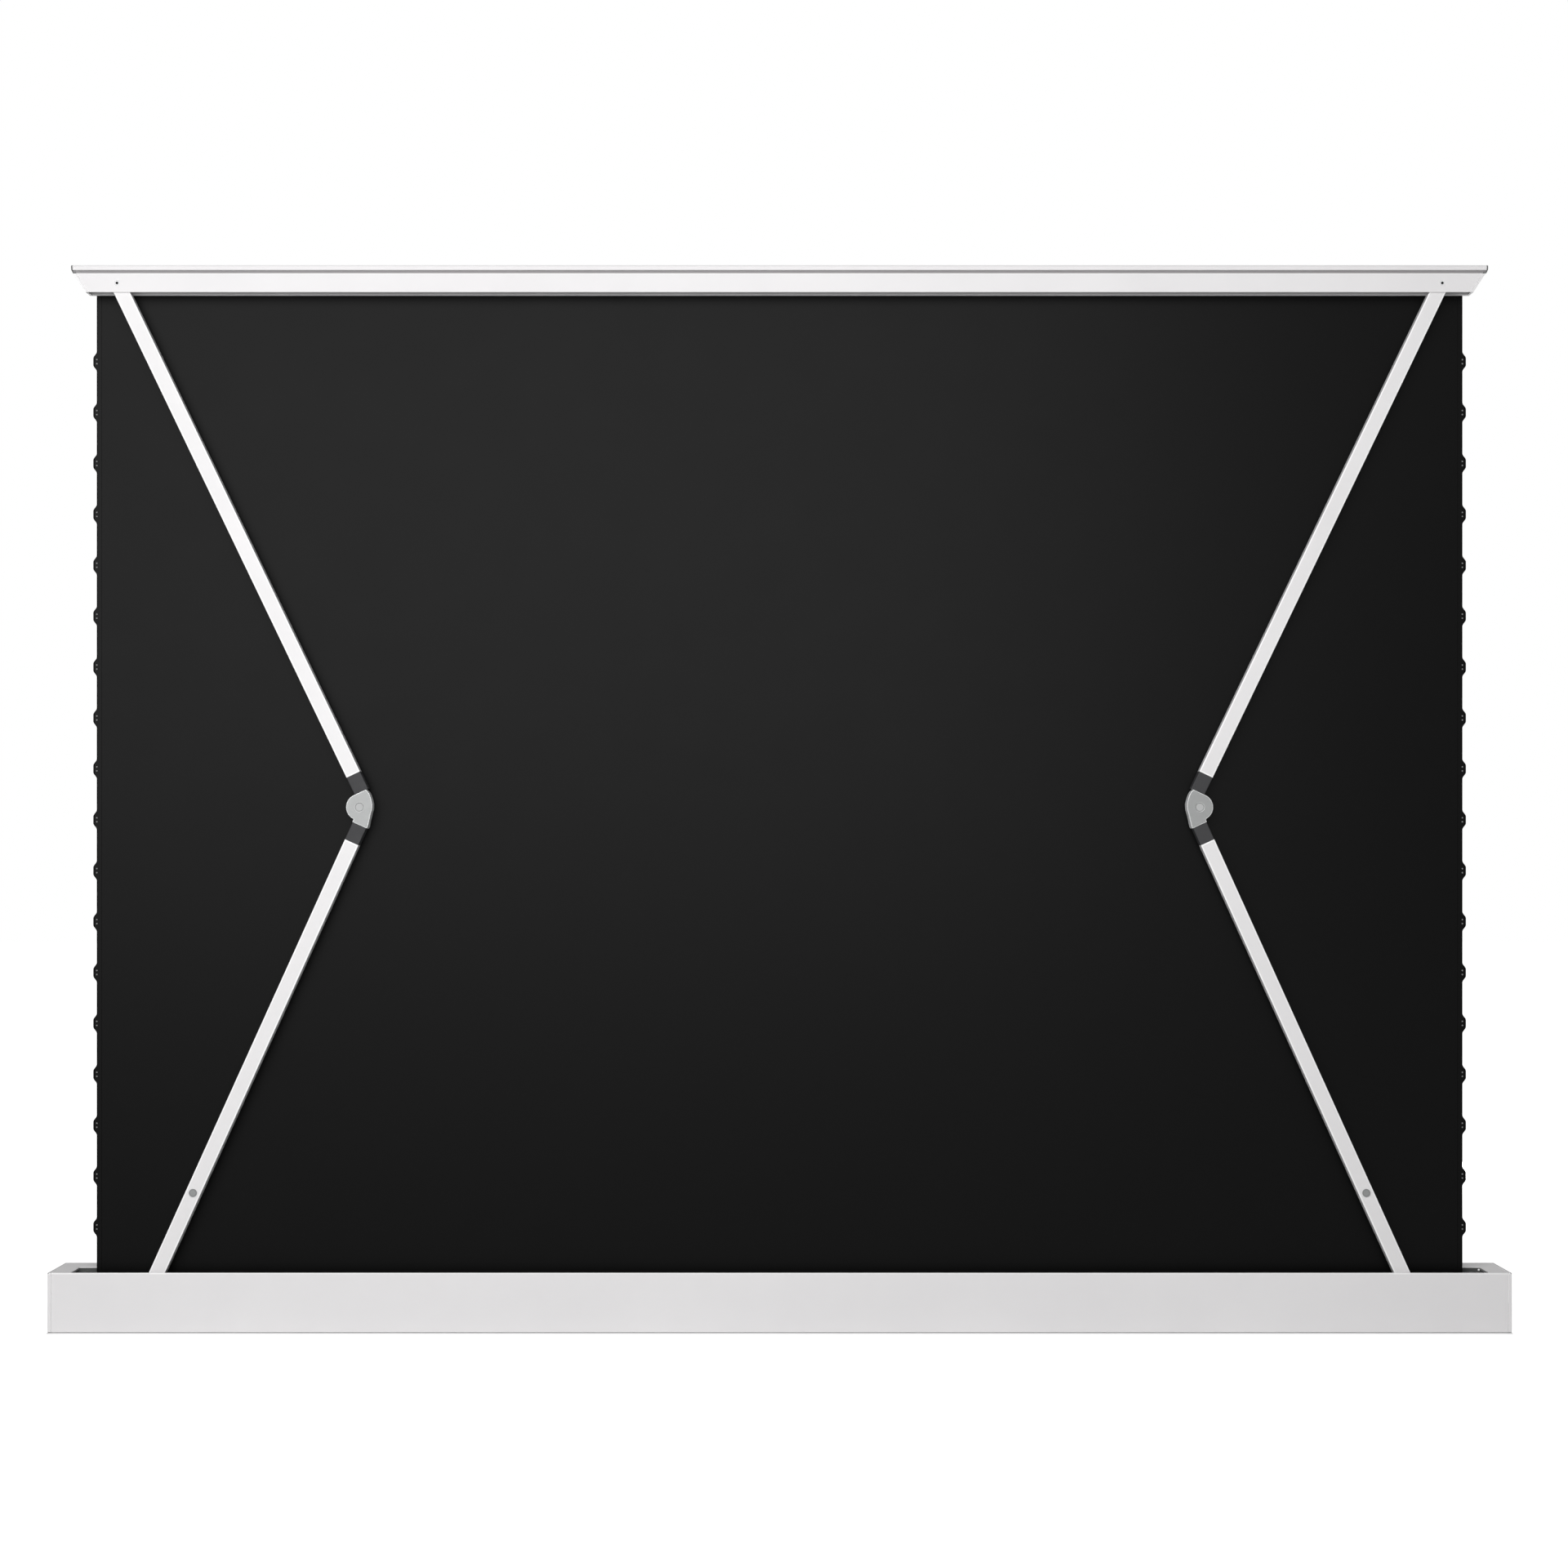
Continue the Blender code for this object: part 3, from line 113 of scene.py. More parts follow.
class Link:
    """One output of a shader node. Sums of links and numbers add their own Math nodes."""

    def __init__(self, finish, socket):
        self.finish = finish
        self.socket = socket

    def other(self, name):
        """Another output of the same node."""
        return Link(self.finish, self.socket.node.outputs[name])

    def sum(self, operation, first, second):
        """The result of a Math node."""
        return self.finish.node("ShaderNodeMath", {"operation": operation}, {0: first, 1: second})

    def __add__(self, other):
        return self.sum("ADD", self, other)

    def __sub__(self, other):
        return self.sum("SUBTRACT", self, other)

    def __rsub__(self, other):
        return self.sum("SUBTRACT", other, self)

    def __mul__(self, other):
        return self.sum("MULTIPLY", self, other)

    def __lt__(self, other):
        return self.sum("LESS_THAN", self, other)

    def __gt__(self, other):
        return self.sum("GREATER_THAN", self, other)

    def __abs__(self):
        return self.sum("ABSOLUTE", self, 0)

    def larger(self, other):
        return self.sum("MAXIMUM", self, other)

    __radd__ = __add__
    __rmul__ = __mul__


class Nodes:
    """A tree of shader nodes, for a surface finish or for the air around the object."""

    def __init__(self, tree):
        self.tree = tree

    def put(self, socket, value):
        """Links or sets a socket, and gives a colour its fourth number."""
        if isinstance(value, Link):
            self.tree.links.new(value.socket, socket)
        elif hasattr(value, "__len__") and len(value) == 3 and socket.type == "RGBA":
            socket.default_value = (*value, 1)
        else:
            socket.default_value = value

    def node(self, kind, settings=None, sockets=None):
        """A node of any kind, with its settings, and the values or links of its sockets."""
        made = self.tree.nodes.new(kind)
        for name, value in (settings or {}).items():
            setattr(made, name, value)
        for name, value in (sockets or {}).items():
            self.put(made.inputs[name], value)
        return Link(self, made.outputs[0])

    def between(self, value, low, high, first=0.0, last=1.0):
        """A value's run from low to high, brought to the run from first to last."""
        return self.node("ShaderNodeMapRange", {}, {
            "Value": value, "From Min": low, "From Max": high, "To Min": first, "To Max": last})

    def varied(self, noise, first, last):
        """The middle of a noise's run, brought to the run from first to last."""
        return self.between(noise, *NOISE_RUN, first, last)

    def mix(self, share, first, second):
        """Two colours mixed. The Mix node's colour sockets are its 7th and 8th, its 3rd output."""
        mixed = self.node("ShaderNodeMix", {"data_type": "RGBA"}, {0: share, 6: first, 7: second})
        return Link(self, mixed.socket.node.outputs[2])

    def seen(self):
        """1 for rays from the camera, off gloss or through glass, and 0 for the rest."""
        rays = self.node("ShaderNodeLightPath")
        return rays.larger(rays.other("Is Glossy Ray")).larger(rays.other("Is Transmission Ray"))


class Finish(Nodes):
    """A surface finish: one principled shader and the nodes that feed it."""

    def __init__(self, name, **constants):
        self.material = bpy.data.materials.new(name)
        self.material.use_nodes = True
        super().__init__(self.material.node_tree)
        self.shader = self.tree.nodes["Principled BSDF"]
        self.set(**constants)
        self.place = self.node("ShaderNodeTexCoord").other("Object")

    def set(self, **values):
        """Sets or links the shader's sockets, so base_color means its Base Color."""
        for name, value in values.items():
            socket = name.replace("_", " ").title().replace("Ior", "IOR")
            self.put(self.shader.inputs[socket], value)

    def noise(self, size, detail=2.0, place=None):
        """Soft noise around 0.5, with patches of about the given size in metres."""
        return self.node("ShaderNodeTexNoise", {}, {
            "Vector": place or self.place, "Scale": 1 / size, "Detail": detail})

    def stretched(self, x, y, z):
        """The place with each direction scaled, which draws a pattern out along the others."""
        return self.node("ShaderNodeVectorMath", {"operation": "MULTIPLY"},
                         {0: self.place, 1: (x, y, z)})

    def along(self, axis):
        """The place's distance along X, Y or Z, in metres."""
        split = self.node("ShaderNodeSeparateXYZ", {}, {"Vector": self.place})
        return split.other(axis)

    def facing(self, axis):
        """How squarely the surface faces along X, Y or Z in the piece's frame, from -1 to 1."""
        return self.node("ShaderNodeSeparateXYZ", {}, {
            "Vector": self.place.other("Normal")}).other(axis)

    def rim(self, radius):
        """1 along the edges and 0 on the flats, over about the given radius in metres."""
        rounded = self.node("ShaderNodeBevel", {"samples": EDGE_SAMPLES}, {"Radius": radius})
        face = self.node("ShaderNodeNewGeometry").other("Normal")
        likeness = self.node("ShaderNodeVectorMath", {"operation": "DOT_PRODUCT"},
                             {0: rounded, 1: face}).other("Value")
        return self.between(likeness, *EDGE_RUN)

    def relief(self, height, depth, edge=0.0):
        """A bump of that depth in metres over edges that are rounded by the edge radius."""
        sockets = {"Height": height, "Distance": depth}
        if edge:
            sockets["Normal"] = self.node("ShaderNodeBevel", {"samples": SOFT_SAMPLES},
                                          {"Radius": edge})
        self.set(normal=self.node("ShaderNodeBump", {}, sockets))


def even_shading():
    """The node group that shades round stretches evenly and keeps corners sharp."""
    group = bpy.data.node_groups.get("even_shading")
    if group:
        return group
    group = bpy.data.node_groups.new("even_shading", "GeometryNodeTree")
    for way in ("INPUT", "OUTPUT"):
        group.interface.new_socket("Geometry", in_out=way, socket_type="NodeSocketGeometry")
    start = group.nodes.new("NodeGroupInput")
    bare = group.nodes.new("GeometryNodeRemoveAttribute")
    bare.inputs["Name"].default_value = "custom_normal"
    faces = group.nodes.new("GeometryNodeSetShadeSmooth")
    edges = group.nodes.new("GeometryNodeSetShadeSmooth")
    edges.domain = "EDGE"
    angle = group.nodes.new("GeometryNodeInputMeshEdgeAngle")
    flat = group.nodes.new("FunctionNodeCompare")
    flat.operation = "LESS_THAN"
    flat.inputs[1].default_value = SMOOTH_ANGLE
    end = group.nodes.new("NodeGroupOutput")
    for source, target in (
        (start.outputs[0], bare.inputs["Geometry"]),
        (bare.outputs[0], faces.inputs["Geometry"]),
        (faces.outputs[0], edges.inputs["Geometry"]),
        (angle.outputs[0], flat.inputs[0]),
        (flat.outputs[0], edges.inputs["Shade Smooth"]),
        (edges.outputs[0], end.inputs[0]),
    ):
        group.links.new(source, target)
    return group


def dress(finish, *names):
    """Puts a finish on parts of the frame, and shades rounds evenly and flats flat."""
    for name in names:
        node = frame["nodes"][name]
        for slot in node.material_slots:
            slot.material = finish.material
        weld = node.modifiers.new("weld", "WELD")
        weld.merge_threshold = WELD_DISTANCE
        node.modifiers.new("shading", "NODES").node_group = even_shading()
        flats = node.modifiers.new("flats", "WEIGHTED_NORMAL")
        flats.keep_sharp = True


def powder_coat(name, bright=COAT_WHITE, shade=COAT_SHADE, roughness=COAT_ROUGHNESS):
    """A powder coat: orange peel, slight patches of sheen and of tone, and a painted highlight at
    the edges.
    """
    coat = Finish(name, specular_ior_level=COAT_GLOSS)
    patch = coat.noise(PATCH_SIZE, detail=3.0)
    coat.tone = coat.mix(coat.between(patch, *PATCH_RUN), bright, shade)
    # Painted highlight: the coat is brightened along its edges.
    coat.tone = coat.mix(coat.rim(EDGE_REACH), coat.tone, PAINTED_EDGE_HIGHLIGHT)
    coat.set(base_color=coat.tone, roughness=coat.varied(
        patch, roughness - COAT_UNEVENNESS, roughness + COAT_UNEVENNESS))
    coat.relief(coat.noise(PEEL_SIZE), PEEL_DEPTH, EDGE_SOFTNESS)
    return coat


def housing_coat(name):
    """The white coat, with a painted highlight on the rounds between walls and top, and painted
    shade along the foot.
    """
    coat = powder_coat(name)
    height = coat.along("Z")
    upright = coat.facing("Y") * coat.facing("Y")
    # Painted highlight on the rounds between the walls and the top.
    rounds = coat.between(4 * upright * (1 - upright), *ROUND_RUN) * (height > ROUND_START)
    coat.tone = coat.mix(rounds, coat.tone, PAINTED_EDGE_HIGHLIGHT)
    # Painted shade: the coat turns grey along the foot.
    coat.tone = coat.mix(coat.between(height, *FOOT_SHADE_RUN), coat.tone, FOOT_SHADE_GREY)
    coat.set(base_color=coat.tone)
    return coat


white_coat = housing_coat("white_coat")
dress(white_coat, "base_tray")

# Foot pads
# Four rubber pads are pressed into pockets in the tray's underside, and stand just proud of it.
# Moulded rubber, nearly black, with a fine pebbled face.
RUBBER_TONES = ((0.020, 0.020, 0.021), (0.032, 0.032, 0.034))
RUBBER_PATCH = 0.01
RUBBER_GRAIN = 0.0006
RUBBER_DEPTH = 0.00008


def mottled(name, size, tones, detail=2.0, **constants):
    """A finish that wanders between two tones, in patches of about the given size."""
    finish = Finish(name, **constants)
    finish.patch = finish.noise(size, detail)
    finish.tone = finish.mix(finish.patch, *tones)
    finish.set(base_color=finish.tone)
    return finish


rubber = mottled("pad_rubber", RUBBER_PATCH, RUBBER_TONES, roughness=0.85, specular_ior_level=0.3)
rubber.relief(rubber.noise(RUBBER_GRAIN), RUBBER_DEPTH)
dress(rubber, "foot_pad_rear_left", "foot_pad_rear_right", "foot_pad_front_left",
      "foot_pad_front_right")

# Top cover and slot strip
# The strip on the viewing side of the slot is a second white extrusion. Dark felt along its lip
# keeps dust out, and a white nylon plug holds the lip felt's right end. Dark felt on the slot's end
# walls is painted shade.
FELT_TONES = ((0.075, 0.079, 0.077), (0.105, 0.109, 0.107))
FELT_PATCH = 0.004
FELT_FIBRE = 0.0007
FELT_DEPTH = 0.0003
FELT_DETAIL = 4.0
FELT_ROUNDING = 0.0001
LIP_GAP = 0.0005
STRIP_PROUD = 0.0002
STRIP_BOTTOM_RISE = 0.0002
STRIP_TOP_DROP = 0.0009
STRIP_HALF = 1.2000
SLOT_HALF = 1.1830
END_SHADE_FELT_THICKNESS = 0.0006
END_SHADE_FELT_DROP = 0.0012
END_SHADE_FELT_HEIGHT = 0.0028
NYLON_WHITE = (0.96, 0.96, 0.96)
NYLON_GRAIN = 0.002
NYLON_DEPTH = 0.00002
PLUG_RADIUS = 0.0021
PLUG_PROUD = 0.0004
PLUG_DROP = 0.0002
PLUG_PLACE_X = 1.1808
PLUG_PROFILE = ((0, -0.001), (1.0, -0.001), (1.0, 0.0), (0.8, 0.0003), (0, PLUG_PROUD))
PLUG_STEPS = 24

dress(white_coat, "top_cover")

felt = mottled("slot_felt", FELT_PATCH, FELT_TONES, FELT_DETAIL, roughness=0.95,
               specular_ior_level=0.1, sheen_weight=0.2)
felt.relief(felt.noise(FELT_FIBRE, FELT_DETAIL), FELT_DEPTH)

nylon = Finish("white_nylon", roughness=0.4, base_color=NYLON_WHITE)
nylon.relief(nylon.noise(NYLON_GRAIN), NYLON_DEPTH)


def new_mesh(name, build):
    """A mesh that a function fills as a bmesh, with its faces turned outward."""
    bm = bmesh.new()
    build(bm)
    bmesh.ops.recalc_face_normals(bm, faces=bm.faces)
    mesh = bpy.data.meshes.new(name)
    bm.to_mesh(mesh)
    bm.free()
    mesh.shade_smooth()
    mesh.set_sharp_from_angle(angle=SMOOTH_ANGLE)
    return mesh


def piece(name, mesh, finish, body):
    """A piece of the object in its finish, riding on a body."""
    made = bpy.data.objects.new(name, mesh)
    bpy.context.scene.collection.objects.link(made)
    mesh.materials.append(finish.material)
    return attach(made, body)


def add_box(bm, low, high, rounding):
    """A box between two corners, with its edges rounded."""
    size = Vector(high) - Vector(low)
    centre = (Vector(high) + Vector(low)) / 2
    box = bmesh.ops.create_cube(bm, size=1.0, matrix=Matrix.LocRotScale(centre, None, size))
    edges = list({edge for vert in box["verts"] for edge in vert.link_edges})
    bmesh.ops.bevel(bm, geom=edges, offset=rounding, segments=3, profile=0.5, affect="EDGES")


def standing(place, direction):
    """The matrix that stands a turned shape at a place, with its top towards a direction."""
    turn = Vector(direction).to_track_quat("Z", "Y").to_matrix().to_4x4()
    return Matrix.Translation(place) @ turn


def add_turned(bm, profile, radius, stand, steps):
    """A profile of (share of the radius, height), turned round its axis, where both ends lie."""
    rings = []
    for share, height in profile:
        count = 1 if share == 0 else steps
        rings.append([bm.verts.new(stand @ Vector((
            radius * share * math.cos(math.tau * i / count),
            radius * share * math.sin(math.tau * i / count), height))) for i in range(count)])
    for lower, upper in zip(rings, rings[1:]):
        for i in range(steps):
            corners = [lower[i % len(lower)], lower[(i + 1) % len(lower)],
                       upper[(i + 1) % len(upper)], upper[i % len(upper)]]
            bm.faces.new(list(dict.fromkeys(corners)))


cover_low, cover_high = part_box("top_cover")
lip_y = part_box("top_bar_cover")[1].y + LIP_GAP
piece("slot_strip",
      new_mesh("slot_strip", lambda bm: add_box(
          bm, (-STRIP_HALF, lip_y - STRIP_PROUD, cover_low.z + STRIP_BOTTOM_RISE),
          (STRIP_HALF, lip_y + STRIP_PROUD, cover_high.z - STRIP_TOP_DROP), FELT_ROUNDING)),
      felt, "housing")
# Painted shade: dark felt laid on the slot's end walls, which lie in shade.
for side, name in ((-1, "left"), (1, "right")):
    near, far = sorted((side * SLOT_HALF, side * (SLOT_HALF - END_SHADE_FELT_THICKNESS)))
    piece("slot_end_felt_" + name,
          new_mesh("slot_end_shade_felt", lambda bm: add_box(
              bm, (near, cover_low.y, cover_high.z - END_SHADE_FELT_DROP - END_SHADE_FELT_HEIGHT),
              (far, lip_y - 2 * PLUG_PROUD, cover_high.z - END_SHADE_FELT_DROP), FELT_ROUNDING)),
          felt, "housing")
plug_z = (cover_low.z + cover_high.z) / 2 - PLUG_DROP
plug_stand = standing((PLUG_PLACE_X, lip_y, plug_z), (0, -1, 0))
piece("slot_plug",
      new_mesh("slot_plug", lambda bm: add_turned(bm, PLUG_PROFILE, PLUG_RADIUS, plug_stand,
                                                  PLUG_STEPS)),
      nylon, "housing")

# Housing ends
# Two die-cast caps close the housing, coated as the extrusions are. Each is held by four small
# socket screws of black steel, driven into the extrusions' screw channels.
CAP_RIM = 0.0030
CAP_RIM_SHADE = (0.36, 0.355, 0.357)
CAP_RIM_FACING = (0.2, 0.5)
BAND_FULL = 0.6
CAP_SCREW_TONES = ((0.045, 0.045, 0.047), (0.07, 0.07, 0.072))
CAP_SCREW_PATCH = 0.001
CAP_SCREW_GRAIN = 0.0006
CAP_SCREW_RADIUS = 0.0034
CAP_SCREW_SOCKET = 0.0015
CAP_SCREW_DEPTH = 0.0016
CAP_SCREW_PROUD = 0.0005
CAP_SCREW_INSET = 0.010
SCREW_DOME = ((1.0, 0.35), (0.93, 0.75), (0.80, 1.0))
SCREW_CHAMFER = ((1.08, 1.0), (1.0, 0.8))
SCREW_STEPS = 24

cap_coat = housing_coat("cap_coat")
cap_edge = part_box("housing_end_right")[1].x
# Painted shade: the round between each cap's top and its end face is darkened.
cap_rim_shade = (cap_coat.between(abs(cap_coat.along("X")), cap_edge - CAP_RIM,
                            cap_edge - BAND_FULL * CAP_RIM)
           * cap_coat.between(cap_coat.facing("Z"), *CAP_RIM_FACING))
cap_coat.set(base_color=cap_coat.mix(cap_rim_shade, cap_coat.tone, CAP_RIM_SHADE))
dress(cap_coat, "housing_end_left", "housing_end_right")

dark_steel = mottled("blackened_steel", CAP_SCREW_PATCH, CAP_SCREW_TONES, metallic=0.85)
dark_steel.set(roughness=dark_steel.varied(dark_steel.noise(CAP_SCREW_GRAIN), 0.32, 0.48))


def hexagon(radius, angle):
    """The distance from a hexagon's middle to its side, at an angle."""
    return radius * math.cos(math.pi / 6) / math.cos((angle + math.pi / 6) % (math.pi / 3)
                                                     - math.pi / 6)


def add_socket_screw(bm, stand, radius, socket, depth, proud):
    """A screw's head: a low dome with a hexagon socket, standing on z = 0 of its matrix."""
    def ring(reach, height):
        return [bm.verts.new(stand @ Vector((reach(i) * math.cos(math.tau * i / SCREW_STEPS),
                                             reach(i) * math.sin(math.tau * i / SCREW_STEPS),
                                             height)))
                for i in range(SCREW_STEPS)]

    def round_ring(share, height):
        return ring(lambda i: radius * share, height)

    def socket_ring(share, height):
        return ring(lambda i: hexagon(socket * share, math.tau * i / SCREW_STEPS), height)

    rings = ([round_ring(1.0, -depth)]
             + [round_ring(share, height * proud) for share, height in SCREW_DOME]
             + [socket_ring(share, height * proud) for share, height in SCREW_CHAMFER]
             + [socket_ring(1.0, proud - depth)])
    for lower, upper in zip(rings, rings[1:]):
        for i in range(SCREW_STEPS):
            j = (i + 1) % SCREW_STEPS
            bm.faces.new((lower[i], lower[j], upper[j], upper[i]))
    bm.faces.new(rings[0])
    bm.faces.new(rings[-1])


for side, name in ((-1, "left"), (1, "right")):
    low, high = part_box("housing_end_" + name)
    outer = high.x if side > 0 else low.x
    for row, z in (("low", low.z + CAP_SCREW_INSET), ("high", high.z - CAP_SCREW_INSET)):
        for end, y in (("rear", low.y + CAP_SCREW_INSET), ("front", high.y - CAP_SCREW_INSET)):
            stand = standing((outer, y, z), (side, 0, 0))
            mesh = new_mesh("cap_screw", lambda bm: add_socket_screw(
                bm, stand, CAP_SCREW_RADIUS, CAP_SCREW_SOCKET, CAP_SCREW_DEPTH, CAP_SCREW_PROUD))
            piece("cap_screw_%s_%s_%s" % (name, end, row), mesh, dark_steel, "housing")

# Power inlet, push button and receiver window
# The inlet and the button sit in the right end cap, and the window in the viewing side. They are
# moulded plastic, finely sparked, and the window is smoked acrylic. The inlet has two brass pins.
PLASTIC_TONES = ((0.018, 0.018, 0.019), (0.026, 0.026, 0.028))
PLASTIC_PATCH = 0.02
PLASTIC_SHEEN_PATCH = 0.004
SPARK_GRAIN = 0.0005
SPARK_DEPTH = 0.00005
PLASTIC_ROUNDING = 0.0005
ACRYLIC_TONES = ((0.012, 0.007, 0.012), (0.018, 0.010, 0.018))
BRASS_TONES = ((0.62, 0.58, 0.50), (0.70, 0.67, 0.60))
BRASS_PATCH = 0.002
INLET_PIN_RADIUS = 0.0012
INLET_PIN_SPACING = 0.0086
INLET_PIN_LENGTH = 0.010
INLET_PIN_PROFILE = ((0, 0), (1.0, 0), (1.0, INLET_PIN_LENGTH - 0.001), (0.6, INLET_PIN_LENGTH),
                     (0, INLET_PIN_LENGTH))
INLET_PIN_STEPS = 16
INLET_FLOOR_DEPTH = 0.0135

black_plastic = mottled("moulded_plastic", PLASTIC_PATCH, PLASTIC_TONES, specular_ior_level=0.4)
black_plastic.set(roughness=black_plastic.varied(
    black_plastic.noise(PLASTIC_SHEEN_PATCH), 0.42, 0.55))
black_plastic.relief(black_plastic.noise(SPARK_GRAIN), SPARK_DEPTH, PLASTIC_ROUNDING)
smoked_acrylic = mottled("smoked_acrylic", PLASTIC_PATCH, ACRYLIC_TONES, roughness=0.06,
                         specular_ior_level=0.5, coat_weight=0.4)
dress(black_plastic, "power_inlet", "push_button")
dress(smoked_acrylic, "ir_window")

brass = mottled("nickelled_brass", BRASS_PATCH, BRASS_TONES, metallic=1.0, roughness=0.25)
inlet_low, inlet_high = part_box("power_inlet")
for side, name in ((-1, "rear"), (1, "front")):
    stand = standing((inlet_high.x - INLET_FLOOR_DEPTH,
                      (inlet_low.y + inlet_high.y) / 2 + side * INLET_PIN_SPACING / 2,
                      (inlet_low.z + inlet_high.z) / 2), (1, 0, 0))
    piece("inlet_pin_" + name,
          new_mesh("inlet_pin", lambda bm: add_turned(bm, INLET_PIN_PROFILE, INLET_PIN_RADIUS,
                                                      stand, INLET_PIN_STEPS)),
          brass, "housing")

# Control box
# The radio receiver and power supply are potted in one plastic case on the housing's floor, beside
# the roller, under the top cover.
dress(black_plastic, "control_box")

# Roller brackets and base brackets
# Bent steel plates with a zinc skin carry the roller and the two lifting arms. The zinc shows its
# spangle, and each arm's pin is a turned steel one with a low head.
ZINC_TONES = ((0.42, 0.43, 0.44), (0.56, 0.57, 0.58))
SPANGLE_SIZE = 0.006
ZINC_GRAIN = 0.001
ZINC_DEPTH = 0.00002
ZINC_ROUNDING = 0.0006
STEEL_TONES = ((0.40, 0.40, 0.41), (0.50, 0.50, 0.51))
STEEL_PATCH = 0.003
STEEL_SHEEN_PATCH = 0.0008
STEEL_GRAIN = 0.0004
STEEL_DEPTH = 0.00001
STEEL_ROUNDING = 0.0004

zinc = Finish("zinc_skin", metallic=0.9)
spangle = zinc.node("ShaderNodeTexVoronoi", {}, {"Vector": zinc.place, "Scale": 1 / SPANGLE_SIZE})
spangle_tone = zinc.node("ShaderNodeSeparateColor", {}, {"Color": spangle.other("Color")})
zinc.set(base_color=zinc.mix(spangle_tone, *ZINC_TONES),
         roughness=zinc.between(spangle_tone, 0.0, 1.0, 0.32, 0.5))
zinc.relief(zinc.noise(ZINC_GRAIN), ZINC_DEPTH, ZINC_ROUNDING)
dress(zinc, "roller_bracket_left", "roller_bracket_right", "base_bracket_left",
      "base_bracket_right")

turned_steel = mottled("turned_steel", STEEL_PATCH, STEEL_TONES, metallic=1.0)
turned_steel.set(roughness=turned_steel.varied(turned_steel.noise(STEEL_SHEEN_PATCH), 0.28, 0.42))
turned_steel.relief(turned_steel.noise(STEEL_GRAIN), STEEL_DEPTH, STEEL_ROUNDING)
dress(turned_steel, "base_pin_left", "base_pin_right")

# Roller
# An aluminium tube with a plastic plug at its idle end and a drive crown on the tubular motor
# inside it. The sheet's last turns stay on it when the screen is up.
ALUMINIUM_TONES = ((0.56, 0.57, 0.58), (0.66, 0.67, 0.68))
DIE_LINE_SIZE = 0.0012
DIE_LINE_STRETCH = (0.02, 1, 1)
DIE_LINE_DEPTH = 0.00003
TUBE_ROUNDING = 0.0006
BACKING_TONES = ((0.0009, 0.0009, 0.0009), (0.0013, 0.0013, 0.0013))
BACKING_PATCH = 0.05
BACKING_SHEEN_PATCH = 0.08
BACKING_ROUGHNESS = (0.335, 0.350)
BACKING_GLOSS = 0.058
BACKING_GRAIN = 0.0009
BACKING_DEPTH = 0.00001
TURN_THICKNESS = 0.0006
TURN_GROWTH = 0.15 * TURN_THICKNESS
WINDING_INNER = 0.02515
WINDING_STEPS = 72

bare_aluminium = Finish("bare_aluminium", metallic=1.0)
die_lines = bare_aluminium.noise(DIE_LINE_SIZE, place=bare_aluminium.stretched(*DIE_LINE_STRETCH))
bare_aluminium.set(base_color=bare_aluminium.mix(die_lines, *ALUMINIUM_TONES),
                   roughness=bare_aluminium.varied(die_lines, 0.30, 0.42))
bare_aluminium.relief(die_lines, DIE_LINE_DEPTH, TUBE_ROUNDING)
dress(bare_aluminium, "roller_tube")
dress(black_plastic, "roller_idler_plug", "drive_crown", "motor_ring")
dress(turned_steel, "roller_motor")


def satin_pvc(name):
    """Black PVC with a satin face, very slightly uneven in tone and in sheen."""
    pvc = mottled(name, BACKING_PATCH, BACKING_TONES, specular_ior_level=BACKING_GLOSS)
    pvc.set(roughness=pvc.varied(pvc.noise(BACKING_SHEEN_PATCH), *BACKING_ROUGHNESS))
    pvc.relief(pvc.noise(BACKING_GRAIN), BACKING_DEPTH)
    return pvc


sheet_back = satin_pvc("sheet_backing")
roller_low, roller_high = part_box("roller_tube")
roller_y = (roller_low.y + roller_high.y) / 2
roller_z = (roller_low.z + roller_high.z) / 2
fabric_low, fabric_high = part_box("screen_fabric")


def add_winding(bm):
    """The sheet's last turn: a strip whose radius grows a little, so that its ends lie clear."""
    ends = []
    for x in (fabric_low.x, fabric_high.x):
        inner, outer = [], []
        for i in range(WINDING_STEPS + 1):
            angle = math.pi - math.tau * i / WINDING_STEPS
            grown = TURN_GROWTH * i / WINDING_STEPS
            for ring, radius in ((inner, WINDING_INNER), (outer, WINDING_INNER + TURN_THICKNESS)):
                reach = radius + grown
                ring.append(bm.verts.new((x, roller_y + reach * math.cos(angle),
                                          roller_z + reach * math.sin(angle))))
        ends.append((inner, outer))
    (inner_a, outer_a), (inner_b, outer_b) = ends
    for i in range(WINDING_STEPS):
        bm.faces.new((outer_a[i], outer_a[i + 1], outer_b[i + 1], outer_b[i]))
        bm.faces.new((inner_a[i], inner_b[i], inner_b[i + 1], inner_a[i + 1]))
        bm.faces.new((inner_a[i], inner_a[i + 1], outer_a[i + 1], outer_a[i]))
        bm.faces.new((inner_b[i], outer_b[i], outer_b[i + 1], inner_b[i + 1]))
    for i in (0, WINDING_STEPS):
        bm.faces.new((inner_a[i], outer_a[i], outer_b[i], inner_b[i]))


piece("sheet_last_turn", new_mesh("sheet_last_turn", add_winding), sheet_back, "roller")

